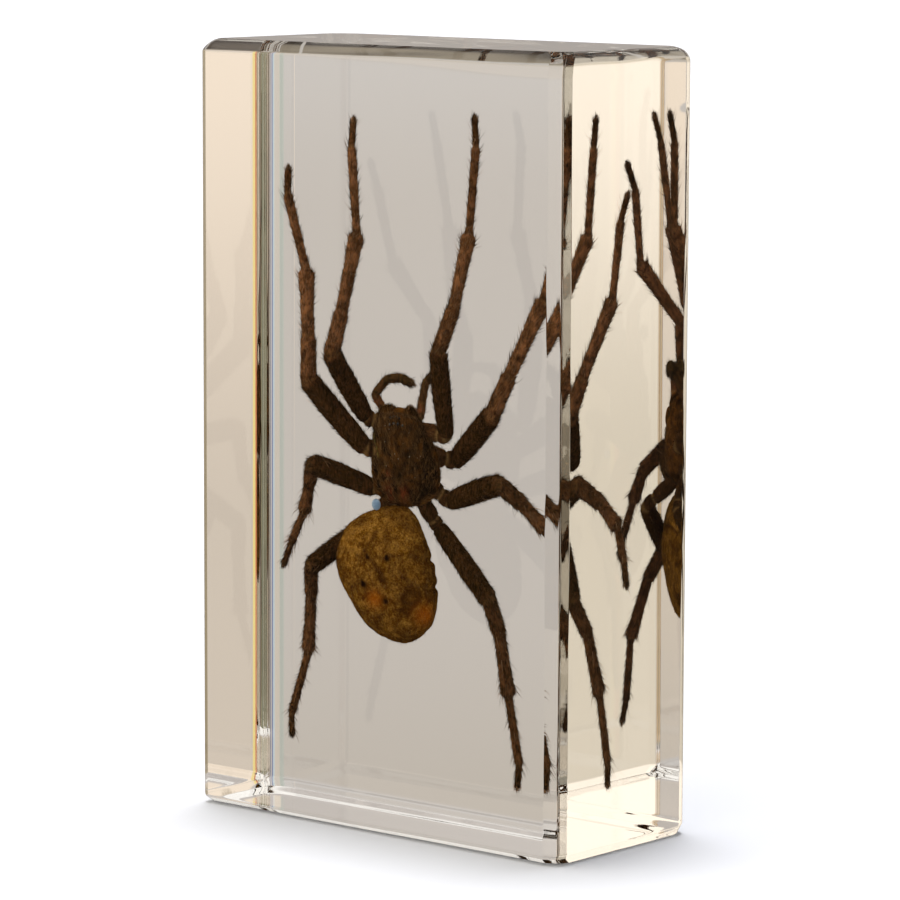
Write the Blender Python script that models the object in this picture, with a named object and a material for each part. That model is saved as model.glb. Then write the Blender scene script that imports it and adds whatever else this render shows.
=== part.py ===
"""Spider cast in a clear resin block that stands on its small end.

World frame: X runs along the wide front face, Y to the back, Z up. The origin is the middle of the block's
bottom face. The spider hangs head up in the resin with its back to the front face, its left side turned a
little nearer to it, its knees raised towards it and its feet deeper in.

The resin is parted along its mid-depth into two halves. Both are hollowed by one pocket, which is the whole
spider grown by a clearance. Sizes are in millimetres, and mm() turns them into Blender's metres.
"""

import math

import bmesh
import bpy
from mathutils import Matrix, Vector

# Block
WIDTH, DEPTH, HEIGHT = 66.0, 30.0, 110.0
EDGE_ROUNDING = 2.2
EDGE_STEPS = 3
PARTING_GAP = 0.3

# Fit of the spider in its pocket, and of each limb against the body
CLEARANCE = 0.3

# Body: both halves of it share the turn about the vertical
BODY_TURN = 14.0
BODY_SIDES = 16

CEPHALOTHORAX_BASE = (0.0, -2.6, 45.5)
# Height above the base, sideways shift, half width, rise of the carapace, depth of the underside
CEPHALOTHORAX_STATIONS = (
    (0.0, 0.0, 1.6, 0.6, 1.0),
    (0.8, 0.0, 3.8, 1.5, 2.0),
    (2.5, 0.2, 5.4, 2.2, 3.2),
    (5.0, 0.2, 5.8, 2.7, 3.8),
    (7.5, 0.0, 5.6, 3.0, 3.8),
    (10.0, -0.5, 4.7, 3.3, 3.5),
    (12.0, -0.9, 3.9, 3.2, 3.0),
    (13.3, -1.2, 3.2, 2.4, 2.2),
)
# Sideways place, half width of each of the two jaw bases at the front of the head
CHELICERAE = ((-2.3, 1.6), (0.5, 1.4))
CHELICERA_HEIGHT, CHELICERA_HALF_LENGTH, CHELICERA_HALF_DEPTH = 12.2, 2.4, 1.7

ABDOMEN_TOP = (0.0, -2.8, 45.1)
ABDOMEN_LENGTH = 18.9
ABDOMEN_HALF_WIDTH = 8.5
ABDOMEN_RISE, ABDOMEN_UNDERSIDE = 5.0, 3.4
ABDOMEN_RINGS = 12
# The egg leans: its middle line sways sideways between the two ends
ABDOMEN_END_SHIFT, ABDOMEN_SWAY, ABDOMEN_SWAY_POWER = -0.2, -3.1, 0.58

# Legs: lengths of femur, patella, tibia, metatarsus and tarsus, shared by the two legs of a pair, and girth
LEG_LENGTHS = {
    1: (12.5, 7.0, 11.6, 12.3, 4.3),
    2: (13.5, 6.0, 12.0, 11.3, 4.2),
    3: (11.0, 5.2, 5.0, 5.6, 3.8),
    4: (14.3, 5.6, 9.1, 10.0, 3.4),
}
LEG_GIRTH = {1: 1.0, 2: 1.06, 3: 0.98, 4: 0.95}
# Radius at the joint that starts each segment, then (share of the length, radius) along it
LEG_PROFILE = (
    (1.05, ((0.2, 1.5), (0.6, 1.6), (0.86, 1.5))),
    (1.15, ((0.25, 1.3), (0.75, 1.3))),
    (1.05, ((0.15, 1.05), (0.5, 1.12), (0.92, 1.28))),
    (0.8, ((0.1, 0.62), (0.5, 0.68), (0.9, 0.7))),
    (0.52, ((0.25, 0.52), (0.8, 0.5))),
)
LEG_TIP_RADIUS = 0.34
LEG_SIDES = 8
POCKET_SIDES = 6
# Where the coxae start inside the body: sideways, behind the body's middle, and the height for each pair
HIP_SIDE, HIP_BEHIND = 2.6, 1.4
HIP_HEIGHT = {1: 56.4, 2: 53.2, 3: 49.8, 4: 46.6}
HIP_RADIUS = 1.1

# For each leg: where its femur starts, then each segment's heading. A heading is the clock angle seen from
# the front, from straight up and positive to the right, and the lean towards the back, in degrees.
LEG_POSES = {
    ("left", 1): ((-6.5, -3.7, 57.6), ((-17, -40), (-1, 37), (5, 20), (-8, 7), (-4, 20))),
    ("left", 2): ((-6.3, -4.4, 53.3), ((-41, -25), (-3, 4), (-23, 37), (-17, -3), (-9, 22))),
    ("left", 3): ((-5.8, -1.9, 47.4), ((-73, -25), (-144, 44), (-159, 15), (-151, 5), (-155, 2))),
    ("left", 4): ((-7.3, 2.4, 43.0), ((-132, -40), (-162, 33), (-168, 18), (-163, -4), (-175, 13))),
    ("right", 1): ((6.8, -0.7, 55.8), ((0, -16), (11, 30), (0, 31), (4, 3), (-8, 11))),
    ("right", 2): ((6.7, 3.1, 52.2), ((51, -27), (23, 14), (22, 19), (15, 0), (23, 9))),
    ("right", 3): ((6.5, 1.1, 46.6), ((71, -13), (137, 43), (135, 20), (150, -1), (149, -8))),
    ("right", 4): ((4.2, 1.9, 42.7), ((130, -13), (172, 30), (176, 15), (171, 6), (-173, 4))),
}

# Palps: the same idea with four segments
PALP_LENGTHS = (2.2, 3.2, 2.3, 2.4)
PALP_PROFILE = (
    (0.6, ((0.5, 0.66),)),
    (0.62, ((0.5, 0.6),)),
    (0.58, ((0.5, 0.64),)),
    (0.64, ((0.6, 0.66),)),
)
PALP_TIP_RADIUS = 0.36
PALP_SIDES = 7
PALP_POSES = {
    "left": ((-4.3, -2.1, 59.1), ((-33, -18), (42, 9), (82, 15), (112, 12))),
    "right": ((2.2, -1.2, 58.0), ((-6, 30), (0, 25), (30, 50), (140, 20))),
}
PALP_ROOT = (-1.0, -2.0, 56.5)

RESIN_COLOUR = (0.93, 0.92, 0.88, 1.0)
CARAPACE_COLOUR = (0.075, 0.042, 0.02, 1.0)
ABDOMEN_COLOUR = (0.23, 0.11, 0.025, 1.0)
LEG_COLOUR = (0.055, 0.028, 0.014, 1.0)
PALP_COLOUR = (0.12, 0.05, 0.02, 1.0)


def mm(values):
    """A point in millimetres as a vector in metres."""
    return Vector(values) * 0.001


def clear_scene():
    for item in list(bpy.data.objects):
        bpy.data.objects.remove(item, do_unlink=True)


def material(name, colour, roughness, transmission=0.0, ior=1.5):
    """A plain Principled material."""
    made = bpy.data.materials.new(name)
    made.use_nodes = True
    shader = made.node_tree.nodes["Principled BSDF"]
    shader.inputs["Base Color"].default_value = colour
    shader.inputs["Roughness"].default_value = roughness
    shader.inputs["Metallic"].default_value = 0.0
    shader.inputs["Transmission Weight"].default_value = transmission
    shader.inputs["IOR"].default_value = ior
    return made


def link(name, bm, skin=None, parent=None):
    """Makes the object from a bmesh and frees the bmesh."""
    bmesh.ops.recalc_face_normals(bm, faces=bm.faces)
    mesh = bpy.data.meshes.new(name)
    bm.to_mesh(mesh)
    bm.free()
    item = bpy.data.objects.new(name, mesh)
    bpy.context.scene.collection.objects.link(item)
    item.parent = parent
    if skin:
        mesh.materials.append(skin)
        mesh.shade_smooth()
        mesh.set_sharp_from_angle(angle=math.radians(50))
    return item


def as_cutter(item, collection):
    """Hides an object from renders and moves it into the collection of pocket cutters."""
    item.hide_render = True
    item.display_type = "WIRE"
    bpy.context.scene.collection.objects.unlink(item)
    collection.objects.link(item)
    return item


def subtract(item, cutter):
    cut = item.modifiers.new("fit_" + cutter.name, "BOOLEAN")
    cut.operation = "DIFFERENCE"
    cut.solver = "EXACT"
    cut.object = cutter


def unite(item, other):
    join = item.modifiers.new("join_" + other.name, "BOOLEAN")
    join.operation = "UNION"
    join.solver = "EXACT"
    join.object = other


# ---- lofted bodies ----


def loft(rings):
    """A closed bmesh through rings that all have the same number of points."""
    bm = bmesh.new()
    loops = [[bm.verts.new(point) for point in ring] for ring in rings]
    for lower, upper in zip(loops, loops[1:]):
        for i in range(len(lower)):
            j = (i + 1) % len(lower)
            bm.faces.new((lower[i], lower[j], upper[j], upper[i]))
    bm.faces.new(loops[0][::-1])
    bm.faces.new(loops[-1])
    return bm


def body_ring(height, shift, half_width, rise, underside, grow):
    """One level ring of the body: half an ellipse for the back, and half of another for the underside."""
    ring = []
    for i in range(BODY_SIDES):
        angle = 2 * math.pi * i / BODY_SIDES
        reach = (underside if math.sin(angle) > 0 else rise) + grow
        ring.append(mm((shift + (half_width + grow) * math.cos(angle), reach * math.sin(angle), height)))
    return ring


def ellipsoid(centre, radii):
    """A closed ellipsoid with its poles up and down."""
    bm = bmesh.new()
    place = Matrix.Translation(mm(centre)) @ Matrix.Diagonal((*mm(radii), 1.0))
    bmesh.ops.create_uvsphere(bm, u_segments=10, v_segments=7, radius=1.0, matrix=place)
    return bm


def body_frame(name, place):
    """An empty at the place, turned with the spider's body."""
    frame = bpy.data.objects.new(name, None)
    frame.location = mm(place)
    frame.rotation_euler.z = math.radians(BODY_TURN)
    bpy.context.scene.collection.objects.link(frame)
    return frame


def cephalothorax(name, frame, grow, skin=None):
    """Carapace and underside as one loft, and the ellipsoids of the two jaw bases."""
    rings = []
    for height, *section in CEPHALOTHORAX_STATIONS:
        ends = -grow if height == 0 else grow if height == CEPHALOTHORAX_STATIONS[-1][0] else 0
        rings.append(body_ring(height + ends, *section, grow))
    head = link(name, loft(rings), skin, frame)
    jaws = []
    for side, (shift, half_width) in enumerate(CHELICERAE):
        radii = (half_width + grow, CHELICERA_HALF_DEPTH + grow, CHELICERA_HALF_LENGTH + grow)
        jaws.append(link(f"{name}_jaw_{side}", ellipsoid((shift, 0.3, CHELICERA_HEIGHT), radii), None, frame))
    return head, jaws


def abdomen(name, frame, grow, skin=None):
    """An egg hanging from its top ring, with a back that rises more than its underside."""
    rings = []
    for i in range(ABDOMEN_RINGS + 1):
        share = 0.5 - 0.5 * math.cos(math.pi * (0.06 + 0.88 * i / ABDOMEN_RINGS))
        girth = math.sqrt(1 - (2 * share - 1) ** 2)
        shift = ABDOMEN_END_SHIFT + ABDOMEN_SWAY * math.sin(math.pi * share**ABDOMEN_SWAY_POWER)
        ends = grow if i == 0 else -grow if i == ABDOMEN_RINGS else 0
        section = (ABDOMEN_HALF_WIDTH * girth, ABDOMEN_RISE * girth, ABDOMEN_UNDERSIDE * girth)
        rings.append(body_ring(ends - ABDOMEN_LENGTH * share, shift, *section, grow))
    return link(name, loft(rings), skin, frame)


# ---- limbs ----


def heading(clock, lean):
    """The unit vector of a clock angle seen from the front and a lean towards the back."""
    clock, lean = math.radians(clock), math.radians(lean)
    return Vector((math.sin(clock) * math.cos(lean), math.sin(lean), math.cos(clock) * math.cos(lean)))


def limb_joints(root, start, lengths, headings):
    """The limb's joints in millimetres: the root in the body, then the start and end of each segment."""
    joints = [Vector(root), Vector(start)]
    for length, angles in zip(lengths, headings):
        joints.append(joints[-1] + length * heading(*angles))
    return joints


def limb_rings(joints, root_radius, profile, tip_radius, girth):
    """(point, direction, radius) of each ring: bisected at a joint, and square to the segment between two."""
    runs = [(b - a).normalized() for a, b in zip(joints, joints[1:])]
    rings = [(joints[0], runs[0], root_radius * girth)]
    for index, (joint_radius, along) in enumerate(profile, start=1):
        start, run = joints[index], runs[index]
        rings.append((start, (runs[index - 1] + run).normalized(), joint_radius * girth))
        length = (joints[index + 1] - start).length
        rings += [(start + share * length * run, run, radius * girth) for share, radius in along]
    rings.append((joints[-1], runs[-1], tip_radius * girth))
    return rings


def tube(rings, sides, grow=0.0):
    """A closed tube through the rings. When grown, its flats too keep that distance, and both ends reach out."""
    widen = 1 / math.cos(math.pi / sides) if grow else 1
    axis = rings[0][1]
    across = axis.orthogonal().normalized()
    loops = []
    for number, (point, direction, radius) in enumerate(rings):
        across.rotate(axis.rotation_difference(direction))
        axis = direction
        other = axis.cross(across)
        ends = -grow if number == 0 else grow if number == len(rings) - 1 else 0
        reach = (radius + grow) * widen
        angles = (2 * math.pi * i / sides for i in range(sides))
        loops.append(
            [mm(point + ends * axis + reach * (math.cos(a) * across + math.sin(a) * other)) for a in angles]
        )
    return loft(loops)


def leg_rings(side, pair):
    """The rings of one leg, from inside the body to the tip of its tarsus."""
    start, headings = LEG_POSES[side, pair]
    hip = Vector((-HIP_SIDE if side == "left" else HIP_SIDE, HIP_BEHIND, 0.0))
    hip.rotate(Matrix.Rotation(math.radians(BODY_TURN), 3, "Z"))
    hip += Vector((CEPHALOTHORAX_BASE[0], CEPHALOTHORAX_BASE[1], HIP_HEIGHT[pair]))
    joints = limb_joints(hip, start, LEG_LENGTHS[pair], headings)
    return limb_rings(joints, HIP_RADIUS, LEG_PROFILE, LEG_TIP_RADIUS, LEG_GIRTH[pair])


def palp_rings(side):
    start, headings = PALP_POSES[side]
    joints = limb_joints(PALP_ROOT, start, PALP_LENGTHS, headings)
    return limb_rings(joints, 0.55, PALP_PROFILE, PALP_TIP_RADIUS, 1.0)


# ---- resin ----


def resin_half(name, front, pockets, skin):
    """One half of the rounded block, with its share of the pocket cut out."""
    bm = bmesh.new()
    size = Matrix.Diagonal((*mm((WIDTH, DEPTH, HEIGHT)), 1.0))
    bmesh.ops.create_cube(bm, size=1.0, matrix=Matrix.Translation(mm((0, 0, HEIGHT / 2))) @ size)
    bmesh.ops.bevel(
        bm, geom=bm.edges[:], offset=EDGE_ROUNDING * 0.001, segments=EDGE_STEPS, profile=0.5, affect="EDGES"
    )
    outwards = 1 if front else -1
    cut = bmesh.ops.bisect_plane(
        bm,
        geom=bm.verts[:] + bm.edges[:] + bm.faces[:],
        plane_co=mm((0, -outwards * PARTING_GAP / 2, 0)),
        plane_no=(0, outwards, 0),
        clear_outer=True,
    )
    rim = [edge for edge in cut["geom_cut"] if isinstance(edge, bmesh.types.BMEdge)]
    bmesh.ops.contextual_create(bm, geom=rim)
    half = link(name, bm, skin)
    pocket = half.modifiers.new("pocket", "BOOLEAN")
    pocket.operation = "DIFFERENCE"
    pocket.solver = "EXACT"
    pocket.operand_type = "COLLECTION"
    pocket.collection = pockets
    return half


def main():
    clear_scene()
    pockets = bpy.data.collections.new("pockets")
    bpy.context.scene.collection.children.link(pockets)
    pockets.hide_render = True
    joined = bpy.data.collections.new("joined")
    bpy.context.scene.collection.children.link(joined)
    joined.hide_render = True

    resin = material("clear_resin", RESIN_COLOUR, 0.03, transmission=1.0, ior=1.56)
    carapace = material("carapace_brown", CARAPACE_COLOUR, 0.6)
    ochre = material("abdomen_ochre", ABDOMEN_COLOUR, 0.55)
    leg_brown = material("leg_brown", LEG_COLOUR, 0.7)
    palp_brown = material("palp_brown", PALP_COLOUR, 0.65)

    thorax_frame = body_frame("thorax_frame", CEPHALOTHORAX_BASE)
    head, jaws = cephalothorax("cephalothorax", thorax_frame, 0.0, carapace)
    for jaw in jaws:
        as_cutter(jaw, joined)
        unite(head, jaw)
    room, jaw_rooms = cephalothorax("cephalothorax_room", thorax_frame, CLEARANCE)
    for item in (room, *jaw_rooms):
        as_cutter(item, pockets)

    abdomen_frame = body_frame("abdomen_frame", ABDOMEN_TOP)
    abdomen("abdomen", abdomen_frame, 0.0, ochre)
    as_cutter(abdomen("abdomen_room", abdomen_frame, CLEARANCE), pockets)

    for side, pair in LEG_POSES:
        rings = leg_rings(side, pair)
        leg = link(f"leg_{side}_{pair}", tube(rings, LEG_SIDES), leg_brown)
        subtract(leg, room)
        as_cutter(link(f"leg_{side}_{pair}_room", tube(rings, POCKET_SIDES, CLEARANCE)), pockets)
    for side in PALP_POSES:
        rings = palp_rings(side)
        palp = link(f"palp_{side}", tube(rings, PALP_SIDES), palp_brown)
        for item in (room, *jaw_rooms):
            subtract(palp, item)
        as_cutter(link(f"palp_{side}_room", tube(rings, POCKET_SIDES, CLEARANCE)), pockets)

    resin_half("resin_front_half", True, pockets, resin)
    resin_half("resin_back_half", False, pockets, resin)


main()
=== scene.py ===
"""Looks of a dried spider cast in an upright block of clear resin.

Sizes are in millimetres, in the frame of the CAD part: X along the wide front face, Y to the back, Z up. They
become metres where a mesh is made. Left and right are as seen from the front.
"""

import logging
import math
from collections.abc import Mapping, Sequence
from dataclasses import dataclass, field
from enum import Enum
from itertools import product
from typing import Any

import bpy
import numpy as np
from mathutils import Matrix, Vector
from numpy.typing import NDArray


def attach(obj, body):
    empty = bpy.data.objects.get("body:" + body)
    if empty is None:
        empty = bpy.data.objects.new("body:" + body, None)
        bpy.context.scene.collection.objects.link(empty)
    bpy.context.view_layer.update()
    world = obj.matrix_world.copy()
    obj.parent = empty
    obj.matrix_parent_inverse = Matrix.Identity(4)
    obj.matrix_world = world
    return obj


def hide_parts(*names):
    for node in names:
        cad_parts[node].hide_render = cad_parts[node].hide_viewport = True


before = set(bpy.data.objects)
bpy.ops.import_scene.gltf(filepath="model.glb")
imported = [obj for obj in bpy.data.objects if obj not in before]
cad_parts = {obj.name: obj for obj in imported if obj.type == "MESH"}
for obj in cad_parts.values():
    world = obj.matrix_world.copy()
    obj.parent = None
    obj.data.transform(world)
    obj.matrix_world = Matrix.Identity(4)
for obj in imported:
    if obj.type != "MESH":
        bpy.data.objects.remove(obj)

Numbers = NDArray[np.float64]
Whole = NDArray[np.int64]
Triple = tuple[float, float, float]
Colour = tuple[float, float, float]

MM = 0.001
BODY = "root"
POLE_GAP = 0.04
# Places of the finishes in a piece: the first is that of the block, the bubble and each part's skin
SKIN, HAIRS, EYES, CRUMBS = range(4)
HASH_PRIMES = (73856093, 19349663, 83492791)
HASH_SIZE = 4096
ALL_ROUND = (-360, 360)
LOG = logging.getLogger("spider_block")


class Side(Enum):
    """Which side of the spider a limb is on, as seen from the front of the block."""

    LEFT = "left"
    RIGHT = "right"


# ---------------------------------------------------------------- shapes worked out as arrays


def whole_turn(places: int) -> Numbers:
    """Angles in radians of evenly spaced places round a ring."""
    return np.linspace(0, 2 * math.pi, places, endpoint=False)


def circles(turn: Numbers, first: Numbers, second: Numbers) -> Numbers:
    """Unit circles: the cosine of each turn along the first axis, plus its sine along the second."""
    return np.cos(turn)[None, :, None] * first[:, None] + np.sin(turn)[None, :, None] * second[:, None]


def unit(vectors: Numbers) -> Numbers:
    """Each vector along the last axis divided by its length."""
    return vectors / np.maximum(np.linalg.norm(vectors, axis=-1, keepdims=True), 1e-12)


def bell(distance: Numbers, width: float) -> Numbers:
    """A bell curve: e to the power of minus the square of distance over width."""
    return np.exp(-((distance / width) ** 2))


def ramp(values: Numbers, low: float, high: float) -> Numbers:
    """Smoothstep from 0 at low to 1 at high: 3 t squared minus 2 t cubed of the clamped share t."""
    share = np.clip((values - low) / (high - low), 0.0, 1.0)
    return share * share * (3 - 2 * share)


def eased(at: Numbers, knots: Sequence[float], values: Sequence[float]) -> Numbers:
    """Smooth curve through the knots that never overshoots them.

    Each stretch is a Hermite cubic. Its slope at a knot is the harmonic mean of the slopes on the two sides.

    Args:
        at: Where the curve is wanted.
        knots: Rising places of the knots.
        values: Value at each knot.

    Returns:
        The curve's value at each place, held at the ends.
    """
    x, y = np.asarray(knots, float), np.asarray(values, float)
    width = np.diff(x)
    slope = np.diff(y) / width
    both = slope[:-1] * slope[1:]
    total = np.where(both > 0, slope[:-1] + slope[1:], 1)
    inner = np.where(both > 0, 2 * both / total, 0)
    knot_slope = np.concatenate(([slope[0]], inner, [slope[-1]]))
    place = np.clip(at, x[0], x[-1])
    i = np.clip(np.searchsorted(x, place, side="right") - 1, 0, len(x) - 2)
    t = (place - x[i]) / width[i]
    rise = width[i] * t * (1 - t)
    return (
        y[i] * (1 + 2 * t) * (1 - t) ** 2
        + y[i + 1] * t * t * (3 - 2 * t)
        + knot_slope[i] * rise * (1 - t)
        - knot_slope[i + 1] * rise * t
    )


def smoothed(values: Numbers, spread: float) -> Numbers:
    """Rows blurred by a bell curve, with both ends kept in place.

    Args:
        values: One row of numbers for each step along a line.
        spread: Standard deviation of the bell curve, in steps.

    Returns:
        The blurred rows: each is the weighted mean of its neighbours, mirrored through the ends past them.
    """
    reach = int(3 * spread) + 1
    offsets = np.arange(-reach, reach + 1)
    weights = np.exp(-0.5 * (offsets / spread) ** 2)
    weights /= weights.sum()
    rows = values if values.ndim > 1 else values[:, None]
    head = 2 * rows[0] - rows[reach:0:-1]
    tail = 2 * rows[-1] - rows[-2 : -reach - 2 : -1]
    padded = np.concatenate((head, rows, tail))
    picked = np.arange(len(rows))[:, None] + np.arange(2 * reach + 1)[None, :]
    blurred = np.einsum("nkc,k->nc", padded[picked], weights)
    return blurred if values.ndim > 1 else blurred[:, 0]


@dataclass(frozen=True)
class Grain:
    """Smooth random field in space.

    Random numbers stand on a cubic lattice, and between its points they are mixed by the smoothstep of each
    coordinate. Each further octave has half the cell and half the height.
    """

    cell: float
    seed: int
    octaves: int = 1

    def at(self, points: Numbers) -> Numbers:
        """Value of the field.

        Args:
            points: Points in millimetres, along the last axis.

        Returns:
            A number from about -1 to 1 for each point.
        """
        total, height, reach = np.zeros(points.shape[:-1]), 1.0, 0.0
        for octave in range(self.octaves):
            total += height * self._layer(points * (2**octave / self.cell), self.seed + octave)
            reach += height
            height *= 0.5
        return total / reach

    @staticmethod
    def _layer(where: Numbers, seed: int) -> Numbers:
        """One octave: the eight lattice numbers round each point, by the share of the cell across from each.

        A lattice point's number is looked up by its three whole coordinates times three primes, joined by
        exclusive or.

        Args:
            where: Points in cells, along the last axis.
            seed: Seed of the lattice's numbers.

        Returns:
            A number from -1 to 1 for each point.
        """
        table = np.random.default_rng(seed).uniform(-1, 1, HASH_SIZE)
        cell = np.floor(where).astype(np.int64)
        share = where - cell
        share = share * share * (3 - 2 * share)
        total = np.zeros(where.shape[:-1])
        for corner in product((0, 1), repeat=3):
            hashed = np.bitwise_xor.reduce((cell + np.array(corner)) * np.array(HASH_PRIMES), axis=-1)
            across = np.prod(np.where(np.array(corner) == 1, share, 1 - share), axis=-1)
            total += table[hashed & (HASH_SIZE - 1)] * across
        return total


@dataclass
class Skin:
    """Part of a mesh in the making: points in millimetres, faces, and a number a point for each mark."""

    points: Numbers
    quads: Whole
    triangles: Whole
    finish: int = SKIN
    marks: dict[str, Numbers] = field(default_factory=dict)

    def outwards(self) -> "Skin":
        """The same closed skin with its faces turned outwards.

        The volume in a closed skin is the sum over its triangles of a third of the first corner dotted with
        the area vector. Where it comes out negative, each face's corners are taken the other way round.

        Returns:
            This skin, turned if it had to be.
        """
        quads = self.quads
        halves = np.concatenate((quads[:, [0, 1, 2]], quads[:, [0, 2, 3]], self.triangles))
        a, b, c = (self.points[halves[:, k]] - self.points.mean(0) for k in range(3))
        if np.einsum("ij,ij->", a, np.cross(b, c)) < 0:
            self.quads, self.triangles = quads[:, ::-1], self.triangles[:, ::-1]
        return self


def closed_skin(grid: Numbers, finish: int = SKIN, marks: Mapping[str, Any] | None = None) -> Skin:
    """Closed skin over a grid of points whose rows are rings.

    Each ring joins its neighbour by quads and closes on itself. The first and last rings close in a fan to
    their middle point.

    Args:
        grid: Points by ring, place in the ring, and coordinate.
        finish: Index of the material.
        marks: For each mark its numbers by ring and place, or any that spread to them.

    Returns:
        The skin, with faces outwards.
    """
    rings, places = grid.shape[:2]
    number = np.arange(rings * places).reshape(rings, places)
    after = np.roll(number, -1, axis=1)
    quads = np.stack((number[:-1], after[:-1], after[1:], number[1:]), -1).reshape(-1, 4)
    low, high = rings * places, rings * places + 1
    fan_low = np.stack((after[0], number[0], np.full(places, low)), -1)
    fan_high = np.stack((number[-1], after[-1], np.full(places, high)), -1)
    points = np.concatenate((grid.reshape(-1, 3), grid[0].mean(0)[None], grid[-1].mean(0)[None]))
    kept = {}
    for name, given in (marks or {}).items():
        values = np.broadcast_to(given, (rings, places))
        kept[name] = np.concatenate((values.ravel(), [values[0].mean(), values[-1].mean()]))
    return Skin(points, quads, np.concatenate((fan_low, fan_high)), finish, kept).outwards()


def grid_normals(grid: Numbers) -> Numbers:
    """Normals of a grid of rings: the cross product of its steps along both parameters, turned outwards.

    Args:
        grid: Points by ring, place in the ring, and coordinate.

    Returns:
        The unit normal at each point.
    """
    across = np.roll(grid, -1, axis=1) - np.roll(grid, 1, axis=1)
    along = np.gradient(grid, axis=0)
    normals = unit(np.cross(across, along))
    outward = grid - grid.mean(axis=1, keepdims=True)
    return normals * np.where((normals * outward).sum(-1, keepdims=True).mean() < 0, -1.0, 1.0)


def relief(grid: Numbers, height: Numbers) -> Numbers:
    """The grid with each point moved along the grid's own normal by its height."""
    return grid + grid_normals(grid) * height[..., None]


def ellipsoid_grid(centre: Triple, radii: Triple, rings: int = 18, places: int = 24) -> Numbers:
    """Rings of an ellipsoid: the sines and cosines of height and turn, times the radii, plus the centre.

    Args:
        centre: Its middle.
        radii: Its half axes.
        rings: Number of rings, from its top to its bottom.
        places: Number of points in a ring.

    Returns:
        Points by ring, place and coordinate.
    """
    height = np.linspace(POLE_GAP, math.pi - POLE_GAP, rings)[:, None]
    turn = whole_turn(places)[None, :]
    upright = np.cos(height) * np.ones_like(turn)
    ball = np.stack((np.sin(height) * np.cos(turn), np.sin(height) * np.sin(turn), upright), -1)
    return np.asarray(centre) + ball * np.asarray(radii)


def swept_grid(path: Numbers, radii: Numbers, places: int, guide: Triple = (0.0, 1.0, 0.0)) -> Numbers:
    """Rings carried along a path.

    Each ring stands square to the path. Its first axis is the cross product of the path's direction with the
    guide, its second that of the first with the direction, and a point is the path's point plus the radius
    times the cosine of its turn on the first and its sine on the second.

    Args:
        path: Points of the middle line.
        radii: Radius by ring, or by ring and place.
        places: Number of points in a ring.
        guide: A direction that the path never runs along.

    Returns:
        Points by ring, place and coordinate.
    """
    run = unit(np.gradient(path, axis=0))
    first = unit(np.cross(run, np.asarray(guide)))
    second = np.cross(first, run)
    reach = radii if radii.ndim == 2 else np.repeat(radii[:, None], places, axis=1)
    return path[:, None] + reach[..., None] * circles(whole_turn(places), first, second)


def bent_path(points: Sequence[Sequence[float]], steps: int) -> Numbers:
    """Points of a smooth line through the given ones: each coordinate eased over the length so far.

    Args:
        points: The points that it goes through.
        steps: Number of points wanted, evenly spaced.

    Returns:
        The points of the line.
    """
    knots = np.asarray(points, float)
    so_far = np.concatenate(([0.0], np.cumsum(np.linalg.norm(np.diff(knots, axis=0), axis=1))))
    at = np.linspace(0, so_far[-1], steps)
    return np.stack([eased(at, so_far, knots[:, k]) for k in range(3)], -1)


def spike(
    points: Sequence[Sequence[float]],
    radius: float,
    steps: int,
    places: int,
    guide: Triple,
    end: float = 0.01,
) -> Numbers:
    """Rings of a curved cone, whose radius falls with the root of the share that is left.

    Args:
        points: The points that its middle line goes through.
        radius: Radius at its foot.
        steps: Number of rings.
        places: Number of points in a ring.
        guide: A direction that the cone never runs along.
        end: The share that is left at its tip.

    Returns:
        Points by ring, place and coordinate.
    """
    return swept_grid(bent_path(points, steps), radius * np.sqrt(np.linspace(1, end, steps)), places, guide)


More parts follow.
